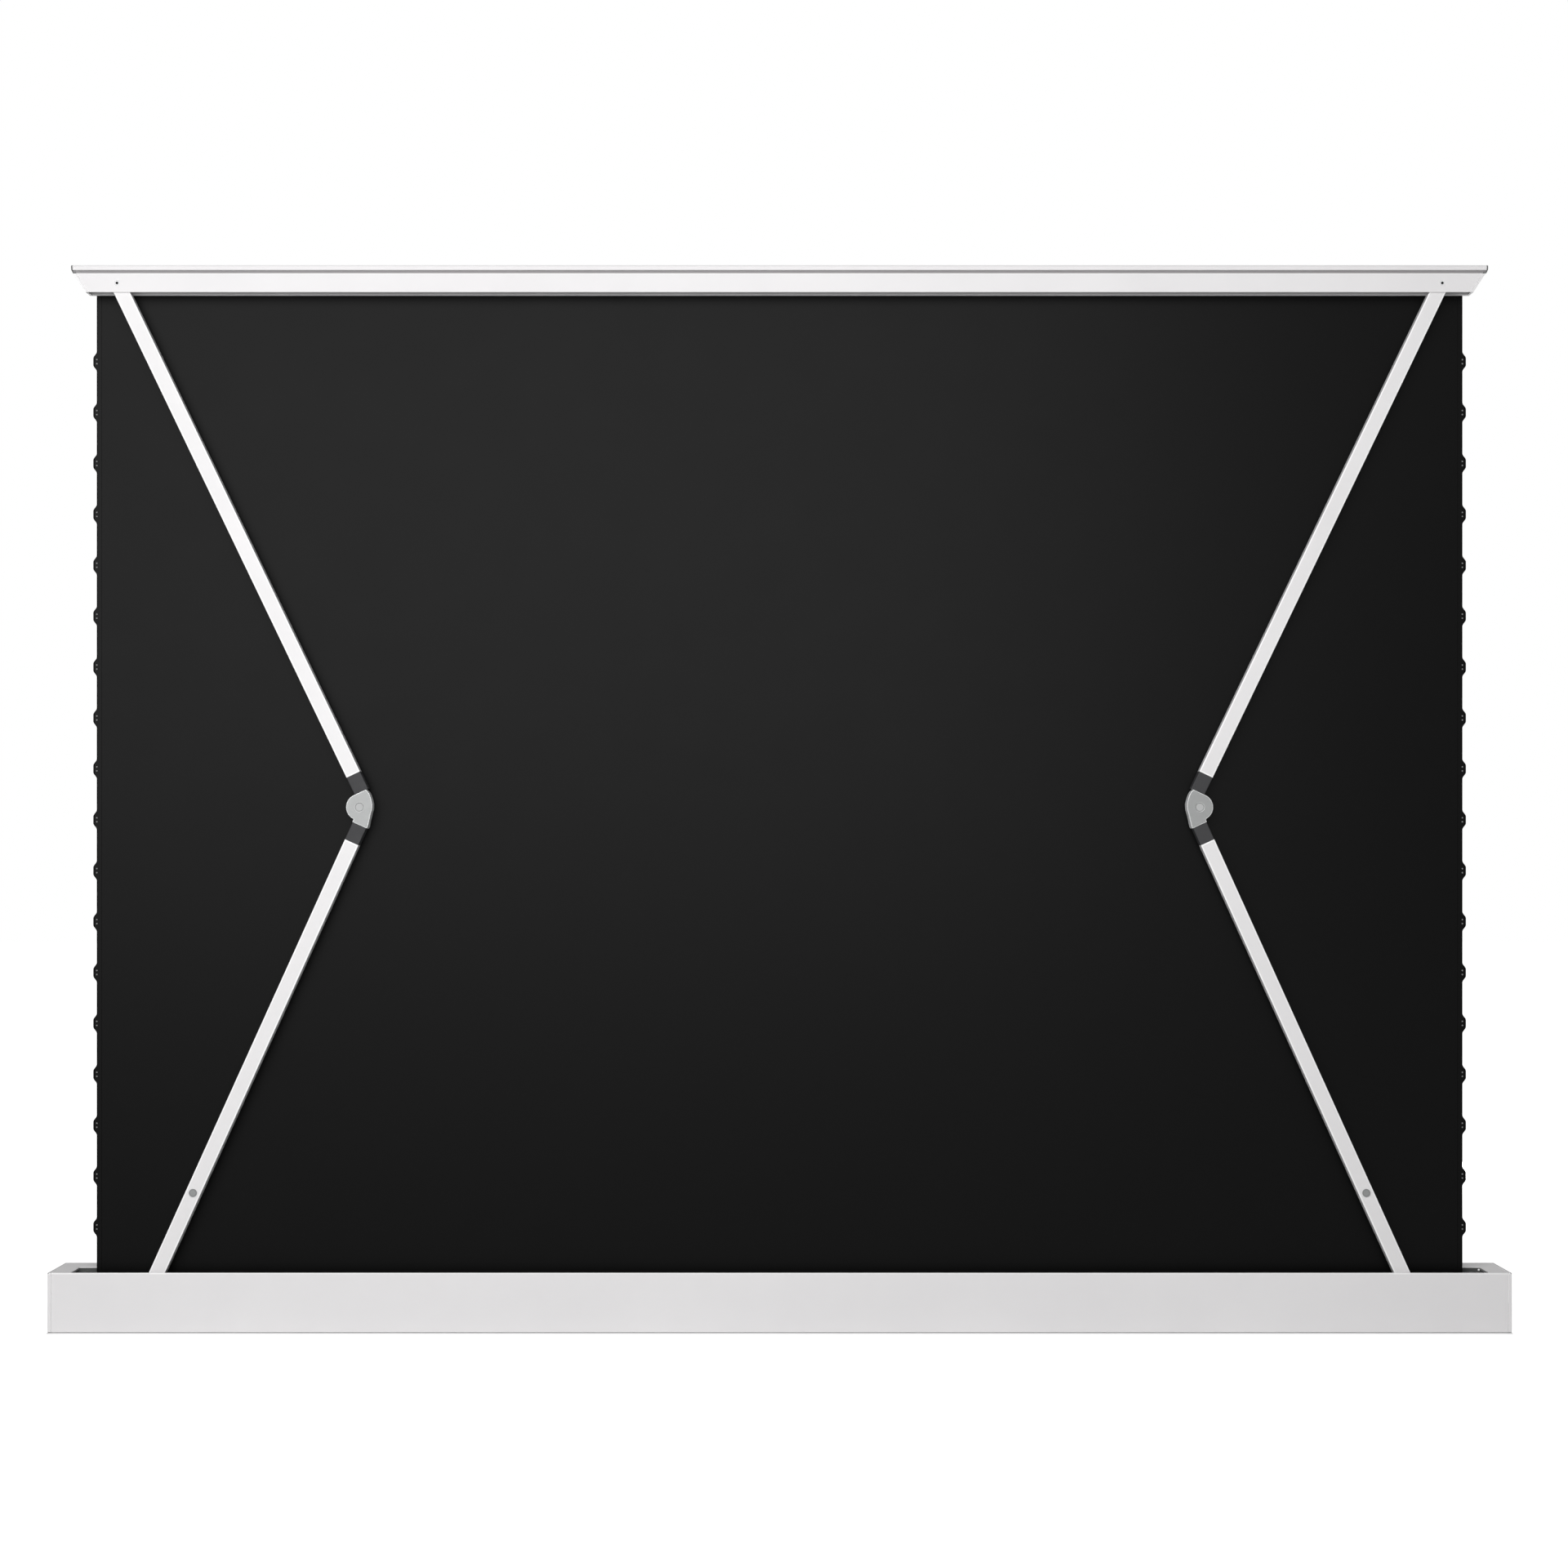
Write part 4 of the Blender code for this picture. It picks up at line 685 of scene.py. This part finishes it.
# Lower arms
# Each is an aluminium box tube in gloss white, with a cast eye at its foot. The round head low on
# the tube is the anchor pin of the lifting spring inside, in dull zinc-plated steel.
TUBE_WHITE = (0.780, 0.770, 0.775)
TUBE_SHADE = (0.762, 0.752, 0.757)
TUBE_ROUGHNESS = 0.42
TUBE_WIDTH = 0.025
TUBE_HIGHLIGHT_BAND = 0.0030
TUBE_FACING = (0.3, 0.6)
FACE_TONES = ((0.176, 0.180, 0.179), (0.200, 0.204, 0.203))
SKIN_AND_PAINTED_LIGHT = (0.88, 0.89, 0.89)
RIM_HIGHLIGHT_TONE = (0.62, 0.63, 0.63)
CAST_PATCH = 0.012
CAST_GRAIN = 0.0009
CAST_DETAIL = 4.0
CAST_DEPTH = 0.00003
CAST_RIM = 0.0026
CAST_ROUNDING = 0.0018
SANDED_FACING = (0.75, 0.95)
SKIN_METALLIC = 0.05
SANDED_METALLIC = 0.42
PIN_SURROUND = 0.0090
SURROUND_DULLING = 0.45
ANCHOR_TONES = ((0.27, 0.275, 0.275), (0.30, 0.305, 0.305))
ANCHOR_EDGE_TONE = (0.23, 0.235, 0.235)
ANCHOR_FLAT = 0.0036
ANCHOR_EDGE = 0.0056
PIN_PATCH = 0.002
PIN_GRAIN = 0.0005
PIN_DEPTH = 0.00001


def middle(name):
    """The middle of a part's box."""
    low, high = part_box(name)
    return (low + high) / 2


def box_tube_coat(name, tube, pin):
    """The gloss white coat of a box tube, with a painted highlight along the tube's edges and at
    its ends.

    The tube's line runs through its own middle and the middle of its pin, and is the same on
    both sides of the screen.
    """
    coat = powder_coat(name, TUBE_WHITE, TUBE_SHADE, TUBE_ROUGHNESS)
    centre = middle(tube)
    run = (centre - middle(pin)) * Vector((1, 0, 1))
    run.normalize()
    low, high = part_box(tube)
    half_length = ((high.z - low.z) - TUBE_WIDTH * abs(run.x)) / abs(run.z) / 2
    x = abs(coat.along("X")) - abs(centre.x)
    z = coat.along("Z") - centre.z
    lean = math.copysign(1, centre.x) * run.x
    across = abs(x * run.z - z * lean)
    along = abs(x * lean + z * run.z)
    # Painted highlight: bands along the tube's edges and ends are brightened on its rear faces.
    edge, end = (coat.between(place, half - TUBE_HIGHLIGHT_BAND, half - BAND_FULL * TUBE_HIGHLIGHT_BAND)
                 for place, half in ((across, TUBE_WIDTH / 2), (along, half_length)))
    rearward = coat.between(abs(coat.facing("Y")), *TUBE_FACING)
    coat.set(base_color=coat.mix(edge.larger(end) * rearward, coat.tone, PAINTED_EDGE_HIGHLIGHT))
    return coat


def from_pin(finish, pin):
    """The square of the distance from a pin's axis, the same on both sides of the screen."""
    place = middle(pin)
    away_x = abs(finish.along("X")) - place.x
    away_z = finish.along("Z") - place.z
    return away_x * away_x + away_z * away_z


def pin_end(name, pin, flat, edge, tones, edge_tone, roughness, gloss):
    """A pin's machined end: a flat face with a turned edge of its own tone round it."""
    end = mottled(name, PIN_PATCH, tones, specular_ior_level=gloss)
    crown = end.between(from_pin(end, pin), edge ** 2, flat ** 2)
    end.set(base_color=end.mix(crown, edge_tone, end.tone),
            roughness=end.varied(end.patch, *roughness))
    end.relief(end.noise(PIN_GRAIN), PIN_DEPTH)
    return end


lower_coat = box_tube_coat("lower_tube_coat", "lower_tube_right", "base_pin_right")

cast_metal = mottled("cast_aluminium", CAST_PATCH, FACE_TONES, CAST_DETAIL)
sanded = cast_metal.between(abs(cast_metal.facing("Y")), *SANDED_FACING)
by_pin = from_pin(cast_metal, "elbow_pin_right") < PIN_SURROUND ** 2
# Painted highlight: each casting's rim is brightened, less so round the pin. The side walls'
# near-white tone is partly painted light.
cast_rim_highlight = cast_metal.rim(CAST_RIM) * (1 - SURROUND_DULLING * by_pin)
cast_face = cast_metal.mix(cast_rim_highlight, cast_metal.tone, RIM_HIGHLIGHT_TONE)
cast_metal.set(base_color=cast_metal.mix(sanded, SKIN_AND_PAINTED_LIGHT, cast_face),
               metallic=SKIN_METALLIC + SANDED_METALLIC * sanded,
               roughness=cast_metal.varied(cast_metal.patch, 0.34, 0.42))
cast_metal.relief(cast_metal.noise(CAST_GRAIN, CAST_DETAIL), CAST_DEPTH, CAST_ROUNDING)

anchor_head = pin_end("anchor_head", "anchor_pin_right", ANCHOR_FLAT, ANCHOR_EDGE, ANCHOR_TONES,
                      ANCHOR_EDGE_TONE, roughness=(0.45, 0.55), gloss=0.2)
for name in ("left", "right"):
    dress(lower_coat, "lower_tube_" + name)
    dress(cast_metal, "base_fitting_" + name)
    dress(anchor_head, "anchor_pin_" + name)

# Lifting springs
# A gas spring's steel cylinder and ground rod lie inside each lower tube. A cable of six twisted
# steel strands runs from the rod to the elbow's hub, which winds it in as the arm folds.
CABLE_RADIUS = 0.00125
CABLE_LAY = 0.012
CABLE_STRANDS = 6
STRAND_DEPTH = 0.16
CABLE_RINGS = 90
CABLE_POINTS = 24

dress(turned_steel, "spring_cylinder_left", "spring_cylinder_right", "spring_rod_left",
      "spring_rod_right")


def add_cable(bm, stand, length):
    """A twisted cable of six strands, standing on z = 0 of its matrix."""
    rings = []
    for i in range(CABLE_RINGS + 1):
        height = length * i / CABLE_RINGS
        twist = math.tau * height / CABLE_LAY
        ring = []
        for j in range(CABLE_POINTS):
            angle = math.tau * j / CABLE_POINTS
            strand = abs(math.cos(CABLE_STRANDS / 2 * angle - twist))
            reach = CABLE_RADIUS * (1 - STRAND_DEPTH + STRAND_DEPTH * strand)
            ring.append(bm.verts.new(stand @ Vector((reach * math.cos(angle),
                                                     reach * math.sin(angle), height))))
        rings.append(ring)
    for lower, upper in zip(rings, rings[1:]):
        for j in range(CABLE_POINTS):
            k = (j + 1) % CABLE_POINTS
            bm.faces.new((lower[j], lower[k], upper[k], upper[j]))
    bm.faces.new(rings[0])
    bm.faces.new(rings[-1])


slides = {joint["name"]: Vector(joint["axis"]) for joint in frame["joints"]
          if joint["type"] == "slide"}
for name in ("left", "right"):
    line = slides["spring_slide_" + name]
    low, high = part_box("lift_cable_" + name)
    length = (high.z - low.z - 2 * CABLE_RADIUS * abs(line.x)) / line.z
    foot = (low + high) / 2 - line * length / 2
    cable = piece("lift_cable_strands_" + name,
                  new_mesh("lift_cable", lambda bm: add_cable(bm, standing(foot, line), length)),
                  turned_steel, "lower_arm_" + name)
    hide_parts("lift_cable_" + name)
    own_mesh(cable)

# Elbows
# Silver die-castings with a rounded rim and a sanded face. The rim carries a painted highlight, and
# the near-white tone of the side walls is partly the cast skin and partly painted light. The clevis
# is on the lower arm and the tongue on the upper one, with a flush pin; dark plastic sleeves cover
# both joints to the tubes.
ELBOW_PIN_TONES = ((0.42, 0.425, 0.425), (0.46, 0.465, 0.465))
ELBOW_PIN_EDGE_TONE = (0.27, 0.275, 0.275)
ELBOW_PIN_FLAT = 0.0058
ELBOW_PIN_EDGE = 0.0064
COLLAR_TONES = ((0.030, 0.030, 0.032), (0.036, 0.036, 0.038))
COLLAR_PATCH = 0.01
COLLAR_DEPTH = 0.00004
COLLAR_ROUNDING = 0.0006

pin_head = pin_end("pin_head", "elbow_pin_right", ELBOW_PIN_FLAT, ELBOW_PIN_EDGE, ELBOW_PIN_TONES,
                   ELBOW_PIN_EDGE_TONE, roughness=(0.42, 0.52), gloss=0.3)
collar_plastic = mottled("collar_plastic", COLLAR_PATCH, COLLAR_TONES, specular_ior_level=0.22)
collar_plastic.set(roughness=collar_plastic.varied(collar_plastic.patch, 0.5, 0.6))
collar_plastic.relief(collar_plastic.noise(SPARK_GRAIN), COLLAR_DEPTH, COLLAR_ROUNDING)
for name in ("left", "right"):
    dress(cast_metal, "elbow_clevis_" + name, "elbow_tongue_" + name)
    dress(pin_head, "elbow_pin_" + name)
    dress(collar_plastic, "lower_collar_" + name, "upper_collar_" + name)

# Upper arms
# Each is an aluminium box tube in the same gloss white as the lower ones. The cast eye at its top
# hides behind the bar's skirt, and turns on the socket screw there.
upper_coat = box_tube_coat("upper_tube_coat", "upper_tube_right", "top_pin_right")
for name in ("left", "right"):
    dress(upper_coat, "upper_tube_" + name)
    dress(cast_metal, "top_fitting_" + name)

# Top bar
# The lid, its rounded lip and the skirt are one white extrusion, and the inner rail is another,
# coloured grey as painted shade under the skirt. The moulded ends are pressed in, with painted
# shade on the lip's rounded ends, and a hexagon socket screw in the skirt carries each arm's top
# eye.
GROOVE_SHADE = (0.27, 0.26, 0.265)
GROOVE_DEPTH = 0.0030
GROOVE_FOOT = (0.0135, 0.0125)
GROOVE_TOP = (0.0075, 0.0090)
RAIL_SHADED_GREY = (0.50, 0.495, 0.497)
RAIL_SHADE = (0.46, 0.455, 0.457)
RAIL_ROUGHNESS = 0.6
END_RIM = 0.0024
END_RIM_SHADE = (0.10, 0.10, 0.10)
END_CURVE_X = 0.0037
LIP_CURVE_START = 0.0048
LIP_CURVE_END = 0.0111
LIP_CURVE_FULL = 0.999
LIP_FOOT = 0.0134
STRIP_TONES = ((0.030, 0.030, 0.032), (0.045, 0.045, 0.048))
STRIP_PATCH = 0.004
STRIP_SHEEN_PATCH = 0.012
STRIP_GRAIN = 0.0008
STRIP_DEPTH = 0.00002
STRIP_ROUNDING = 0.0005
SCREW_TONES = ((0.80, 0.80, 0.81), (0.86, 0.86, 0.87))
SCREW_PATCH = 0.001
SOCKET_OXIDE_AND_SHADE = (0.004, 0.004, 0.004)
SOCKET_REACH = 0.0023

bar_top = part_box("top_bar_cover")[1].z
skirt_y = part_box("top_pin_left")[0].y


def bar_coat(name):
    """The white coat, with painted grey shade in the groove under the lip."""
    coat = powder_coat(name)
    coat.drop = bar_top - coat.along("Z")
    # Painted shade in the groove under the lip.
    groove = ((coat.along("Y") < skirt_y + GROOVE_DEPTH) * coat.between(coat.drop, *GROOVE_FOOT)
              * coat.between(coat.drop, *GROOVE_TOP))
    coat.tone = coat.mix(groove, coat.tone, GROOVE_SHADE)
    coat.set(base_color=coat.tone)
    return coat


dress(bar_coat("bar_coat"), "top_bar_cover")
# Painted shade: the rail's coat is grey where it lies in shade under the skirt.
dress(powder_coat("rail_shaded_coat", RAIL_SHADED_GREY, RAIL_SHADE, RAIL_ROUGHNESS), "clamp_rail")

end_coat = bar_coat("bar_end_coat")
bar_end_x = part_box("bar_end_right")[1].x
# Painted shade: the lip's rounded ends on the end pieces are darkened.
out = end_coat.between(abs(end_coat.along("X")), bar_end_x - END_CURVE_X, bar_end_x - END_RIM)
down = end_coat.between(end_coat.drop, LIP_CURVE_START, LIP_CURVE_END)
lip_end_shade = ((out * out + down * down) > LIP_CURVE_FULL) * (end_coat.drop < LIP_FOOT)
end_coat.set(base_color=end_coat.mix(lip_end_shade, end_coat.tone, END_RIM_SHADE))
dress(end_coat, "bar_end_left", "bar_end_right")

black_zinc = mottled("black_zinc", STRIP_PATCH, STRIP_TONES, metallic=0.6)
black_zinc.set(roughness=black_zinc.varied(black_zinc.noise(STRIP_SHEEN_PATCH), 0.42, 0.52))
black_zinc.relief(black_zinc.noise(STRIP_GRAIN), STRIP_DEPTH, STRIP_ROUNDING)
dress(black_zinc, "clamp_strip")

screw_head = mottled("screw_head", SCREW_PATCH, SCREW_TONES, roughness=0.45,
                     specular_ior_level=0.1)
# The socket is black: partly oxide, partly painted shade in the hollow.
socket = from_pin(screw_head, "top_pin_right") < SOCKET_REACH ** 2
screw_head.set(base_color=screw_head.mix(socket, screw_head.tone, SOCKET_OXIDE_AND_SHADE))
dress(screw_head, "top_pin_left", "top_pin_right")

# Projection sheet
# One PVC sheet, matt white in front with black borders and a black drop, and satin black behind.
# It is clamped in the bar and runs down to the roller.
SURFACE_WHITE = (0.80, 0.80, 0.79)
SURFACE_DEPTH = 0.00002
BORDER = 0.0395
TOP_BORDER = 0.050
VIEW_HEIGHT = 1.245
SHEET_COLUMNS = 48
SHEET_ROWS = 40

sheet_front = Finish("viewing_surface", roughness=0.9, specular_ior_level=0.2)
view_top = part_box("top_bar_cover")[0].z - TOP_BORDER
view_half = fabric_high.x - BORDER
sheet_z = sheet_front.along("Z")
lit = ((abs(sheet_front.along("X")) < view_half) * (sheet_z < view_top)
       * (sheet_z > view_top - VIEW_HEIGHT))
sheet_front.set(base_color=sheet_front.mix(lit, BACKING_TONES[1], SURFACE_WHITE))
sheet_front.relief(sheet_front.noise(BACKING_GRAIN), SURFACE_DEPTH)


def add_sheet(bm):
    """A thin closed slab of small panels. Its front panels take the second finish."""
    def layer(y):
        return [[bm.verts.new((fabric_low.x + (fabric_high.x - fabric_low.x) * i / SHEET_COLUMNS,
                               y,
                               fabric_low.z + (fabric_high.z - fabric_low.z) * j / SHEET_ROWS))
                 for i in range(SHEET_COLUMNS + 1)] for j in range(SHEET_ROWS + 1)]

    rear, front = layer(fabric_low.y), layer(fabric_high.y)
    for grid, index in ((rear, 0), (front, 1)):
        for low_row, high_row in zip(grid, grid[1:]):
            for i in range(SHEET_COLUMNS):
                face = bm.faces.new((low_row[i], low_row[i + 1], high_row[i + 1], high_row[i]))
                face.material_index = index
    for j in (0, SHEET_ROWS):
        for i in range(SHEET_COLUMNS):
            bm.faces.new((rear[j][i], rear[j][i + 1], front[j][i + 1], front[j][i]))
    for i in (0, SHEET_COLUMNS):
        for j in range(SHEET_ROWS):
            bm.faces.new((rear[j][i], rear[j + 1][i], front[j + 1][i], front[j][i]))


def flatten_with_fold(soft):
    """Gives a soft piece a mesh of its own."""
    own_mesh(soft)


sheet = piece("projection_sheet", new_mesh("projection_sheet", add_sheet), sheet_back, "housing")
sheet.data.materials.append(sheet_front.material)
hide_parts("screen_fabric")
flatten_with_fold(sheet)

# Edge tapes
# A black PVC tape is welded on each edge of the sheet, in the same satin finish and duller along
# its cut edge. Every 85 mm it flares into a tab, where two small dull rivets hold the edge cord.
CUT_EDGE_TONES = ((0.0008, 0.0008, 0.0008), (0.0014, 0.0014, 0.0014))
CUT_EDGE_PATCH = 0.002
CUT_EDGE = 0.0016
CUT_EDGE_SIDES = (1, 2, 3)
TAB_COUNT = 18
TAB_PITCH = 0.08547
FIRST_TAB_DROP = 0.1547
TAB_PROUD = 0.0059
TAB_FLAT = 0.0116
TAB_HEIGHT = 0.033
TAB_STEPS = 8
RIVET_TONES = ((0.17, 0.17, 0.17), (0.21, 0.21, 0.21))
RIVET_PATCH = 0.0006
RIVET_RADIUS = 0.0013
RIVET_SPACING = 0.0068
RIVET_PROFILE = ((0, -0.0002), (1.0, -0.0002), (1.0, 0.0001), (0.7, 0.0004), (0, 0.0005))
RIVET_STEPS = 12

tape_face = satin_pvc("tape_face")
tape_edge = mottled("tape_edge", CUT_EDGE_PATCH, CUT_EDGE_TONES, specular_ior_level=0.014,
                    roughness=0.85)
rivet_steel = mottled("dull_rivet", RIVET_PATCH, RIVET_TONES, specular_ior_level=0.2, roughness=0.5)

tab_heights = [cad_high.z - FIRST_TAB_DROP - i * TAB_PITCH for i in range(TAB_COUNT)]
sheet_edge = fabric_high.x


def tab_reach(z):
    """How far the tape stands past the sheet's edge at a height."""
    away = min(abs(z - tab) for tab in tab_heights)
    share = (TAB_HEIGHT / 2 - away) / (TAB_HEIGHT / 2 - TAB_FLAT / 2)
    share = min(max(share, 0.0), 1.0)
    return TAB_PROUD * share * share * (3 - 2 * share)


for side, name in ((-1, "left"), (1, "right")):
    tape_low, tape_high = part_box("edge_tape_" + name)
    inner = min(abs(tape_low.x), abs(tape_high.x))
    heights = {tape_low.z, tape_high.z}
    for tab in tab_heights:
        heights |= {tab + i * TAB_HEIGHT / 2 / TAB_STEPS for i in range(-TAB_STEPS, TAB_STEPS + 1)}
    heights = sorted(z for z in heights if tape_low.z <= z <= tape_high.z)

    def add_tape(bm):
        rows = []
        for z in heights:
            outer = sheet_edge + tab_reach(z)
            rim = outer - CUT_EDGE
            rows.append([bm.verts.new((side * x, y, z)) for x, y in (
                (inner, tape_low.y), (rim, tape_low.y), (outer, tape_low.y),
                (outer, tape_high.y), (rim, tape_high.y), (inner, tape_high.y))])
        for lower, upper in zip(rows, rows[1:]):
            for i in range(len(lower)):
                j = (i + 1) % len(lower)
                face = bm.faces.new((lower[i], lower[j], upper[j], upper[i]))
                face.material_index = 1 if i in CUT_EDGE_SIDES else 0
        bm.faces.new(rows[0])
        bm.faces.new(rows[-1])

    def add_rivets(bm):
        for tab in tab_heights:
            for shift in (-RIVET_SPACING / 2, RIVET_SPACING / 2):
                stand = standing((side * sheet_edge, tape_low.y, tab + shift), (0, -1, 0))
                add_turned(bm, RIVET_PROFILE, RIVET_RADIUS, stand, RIVET_STEPS)

    tape = piece("sheet_tape_" + name, new_mesh("sheet_tape", add_tape), tape_face, "housing")
    tape.data.materials.append(tape_edge.material)
    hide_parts("edge_tape_" + name)
    flatten_with_fold(tape)
    rivets = piece("tape_rivets_" + name, new_mesh("tape_rivets", add_rivets), rivet_steel,
                   "housing")
    flatten_with_fold(rivets)

# Studio
# A plain pale floor and a white surround. One large soft lamp stands at the upper left behind the
# camera, and a low one lights the viewing side. The camera and reflections see a white surround.
KEY_PLACE = (-0.84, -4.22, 2.11)
KEY_TARGET = (0.0, 0.0, 1.0)
KEY_SIZE = (4.0, 3.0)
KEY_POWER = 195.0
FRONT_PLACE = (1.2, 3.7, 0.32)
FRONT_TARGET = (0.0, 0.0, 0.8)
FRONT_SIZE = (4.0, 0.55)
FRONT_POWER = 110.0
SURROUND = 0.13
FLOOR_SIZE = 60.0
FLOOR_TONE = (0.62, 0.62, 0.62)
NEAR_GLOW = 0.90
NEAR_REACH = 1.5
FAR_REACH = 4.0
BENEATH_GLOW = 0.15
SHADE_REACH = 0.030
SHADE_END_REACH = 0.001


def soft_lamp(name, place, target, size, power):
    """A rectangular soft box at a place, turned towards its target."""
    data = bpy.data.lights.new(name, "AREA")
    data.shape = "RECTANGLE"
    data.size, data.size_y = size
    data.energy = power
    lamp = bpy.data.objects.new(name, data)
    lamp.location = place
    lamp.rotation_euler = (Vector(target) - Vector(place)).to_track_quat("-Z", "Y").to_euler()
    lamp.visible_camera = False
    bpy.context.scene.collection.objects.link(lamp)
    return lamp


soft_lamp("key_lamp", KEY_PLACE, KEY_TARGET, KEY_SIZE, KEY_POWER)
front_lamp = soft_lamp("front_lamp", FRONT_PLACE, FRONT_TARGET, FRONT_SIZE, FRONT_POWER)
front_lamp.visible_glossy = False

world = bpy.data.worlds.new("surround")
bpy.context.scene.world = world
world.use_nodes = True
air = Nodes(world.node_tree)
background = air.tree.nodes["Background"]
air.put(background.inputs["Color"], (1, 1, 1))
air.put(background.inputs["Strength"], SURROUND + (1 - SURROUND) * air.seen())

floor_paint = Finish("floor_paint", roughness=1.0, specular_ior_level=0.0, base_color=FLOOR_TONE,
                     emission_strength=1.0)
far = floor_paint.node("ShaderNodeVectorMath", {"operation": "LENGTH"},
                       {0: floor_paint.place}).other("Value")
glow = floor_paint.between(far, NEAR_REACH, FAR_REACH, NEAR_GLOW, 1.0)
# Painted shadow: the floor's glow is lowered in a band along the housing's sides.
shade_x, shade_y = (floor_paint.between(abs(floor_paint.along(axis)), half + reach, half)
                    for axis, half, reach in (("X", cad_high.x, SHADE_END_REACH),
                                              ("Y", cad_high.y, SHADE_REACH)))
glow = glow * (1 - (1 - BENEATH_GLOW) * (shade_x * shade_y))
floor_paint.set(emission_color=floor_paint.mix(glow * floor_paint.seen(), (0, 0, 0), (1, 1, 1)))
floor = bpy.data.objects.new("floor", new_mesh("floor", lambda bm: bmesh.ops.create_grid(
    bm, x_segments=1, y_segments=1, size=FLOOR_SIZE / 2)))
bpy.context.scene.collection.objects.link(floor)
floor.data.materials.append(floor_paint.material)

bpy.context.scene.view_settings.view_transform = "Standard"
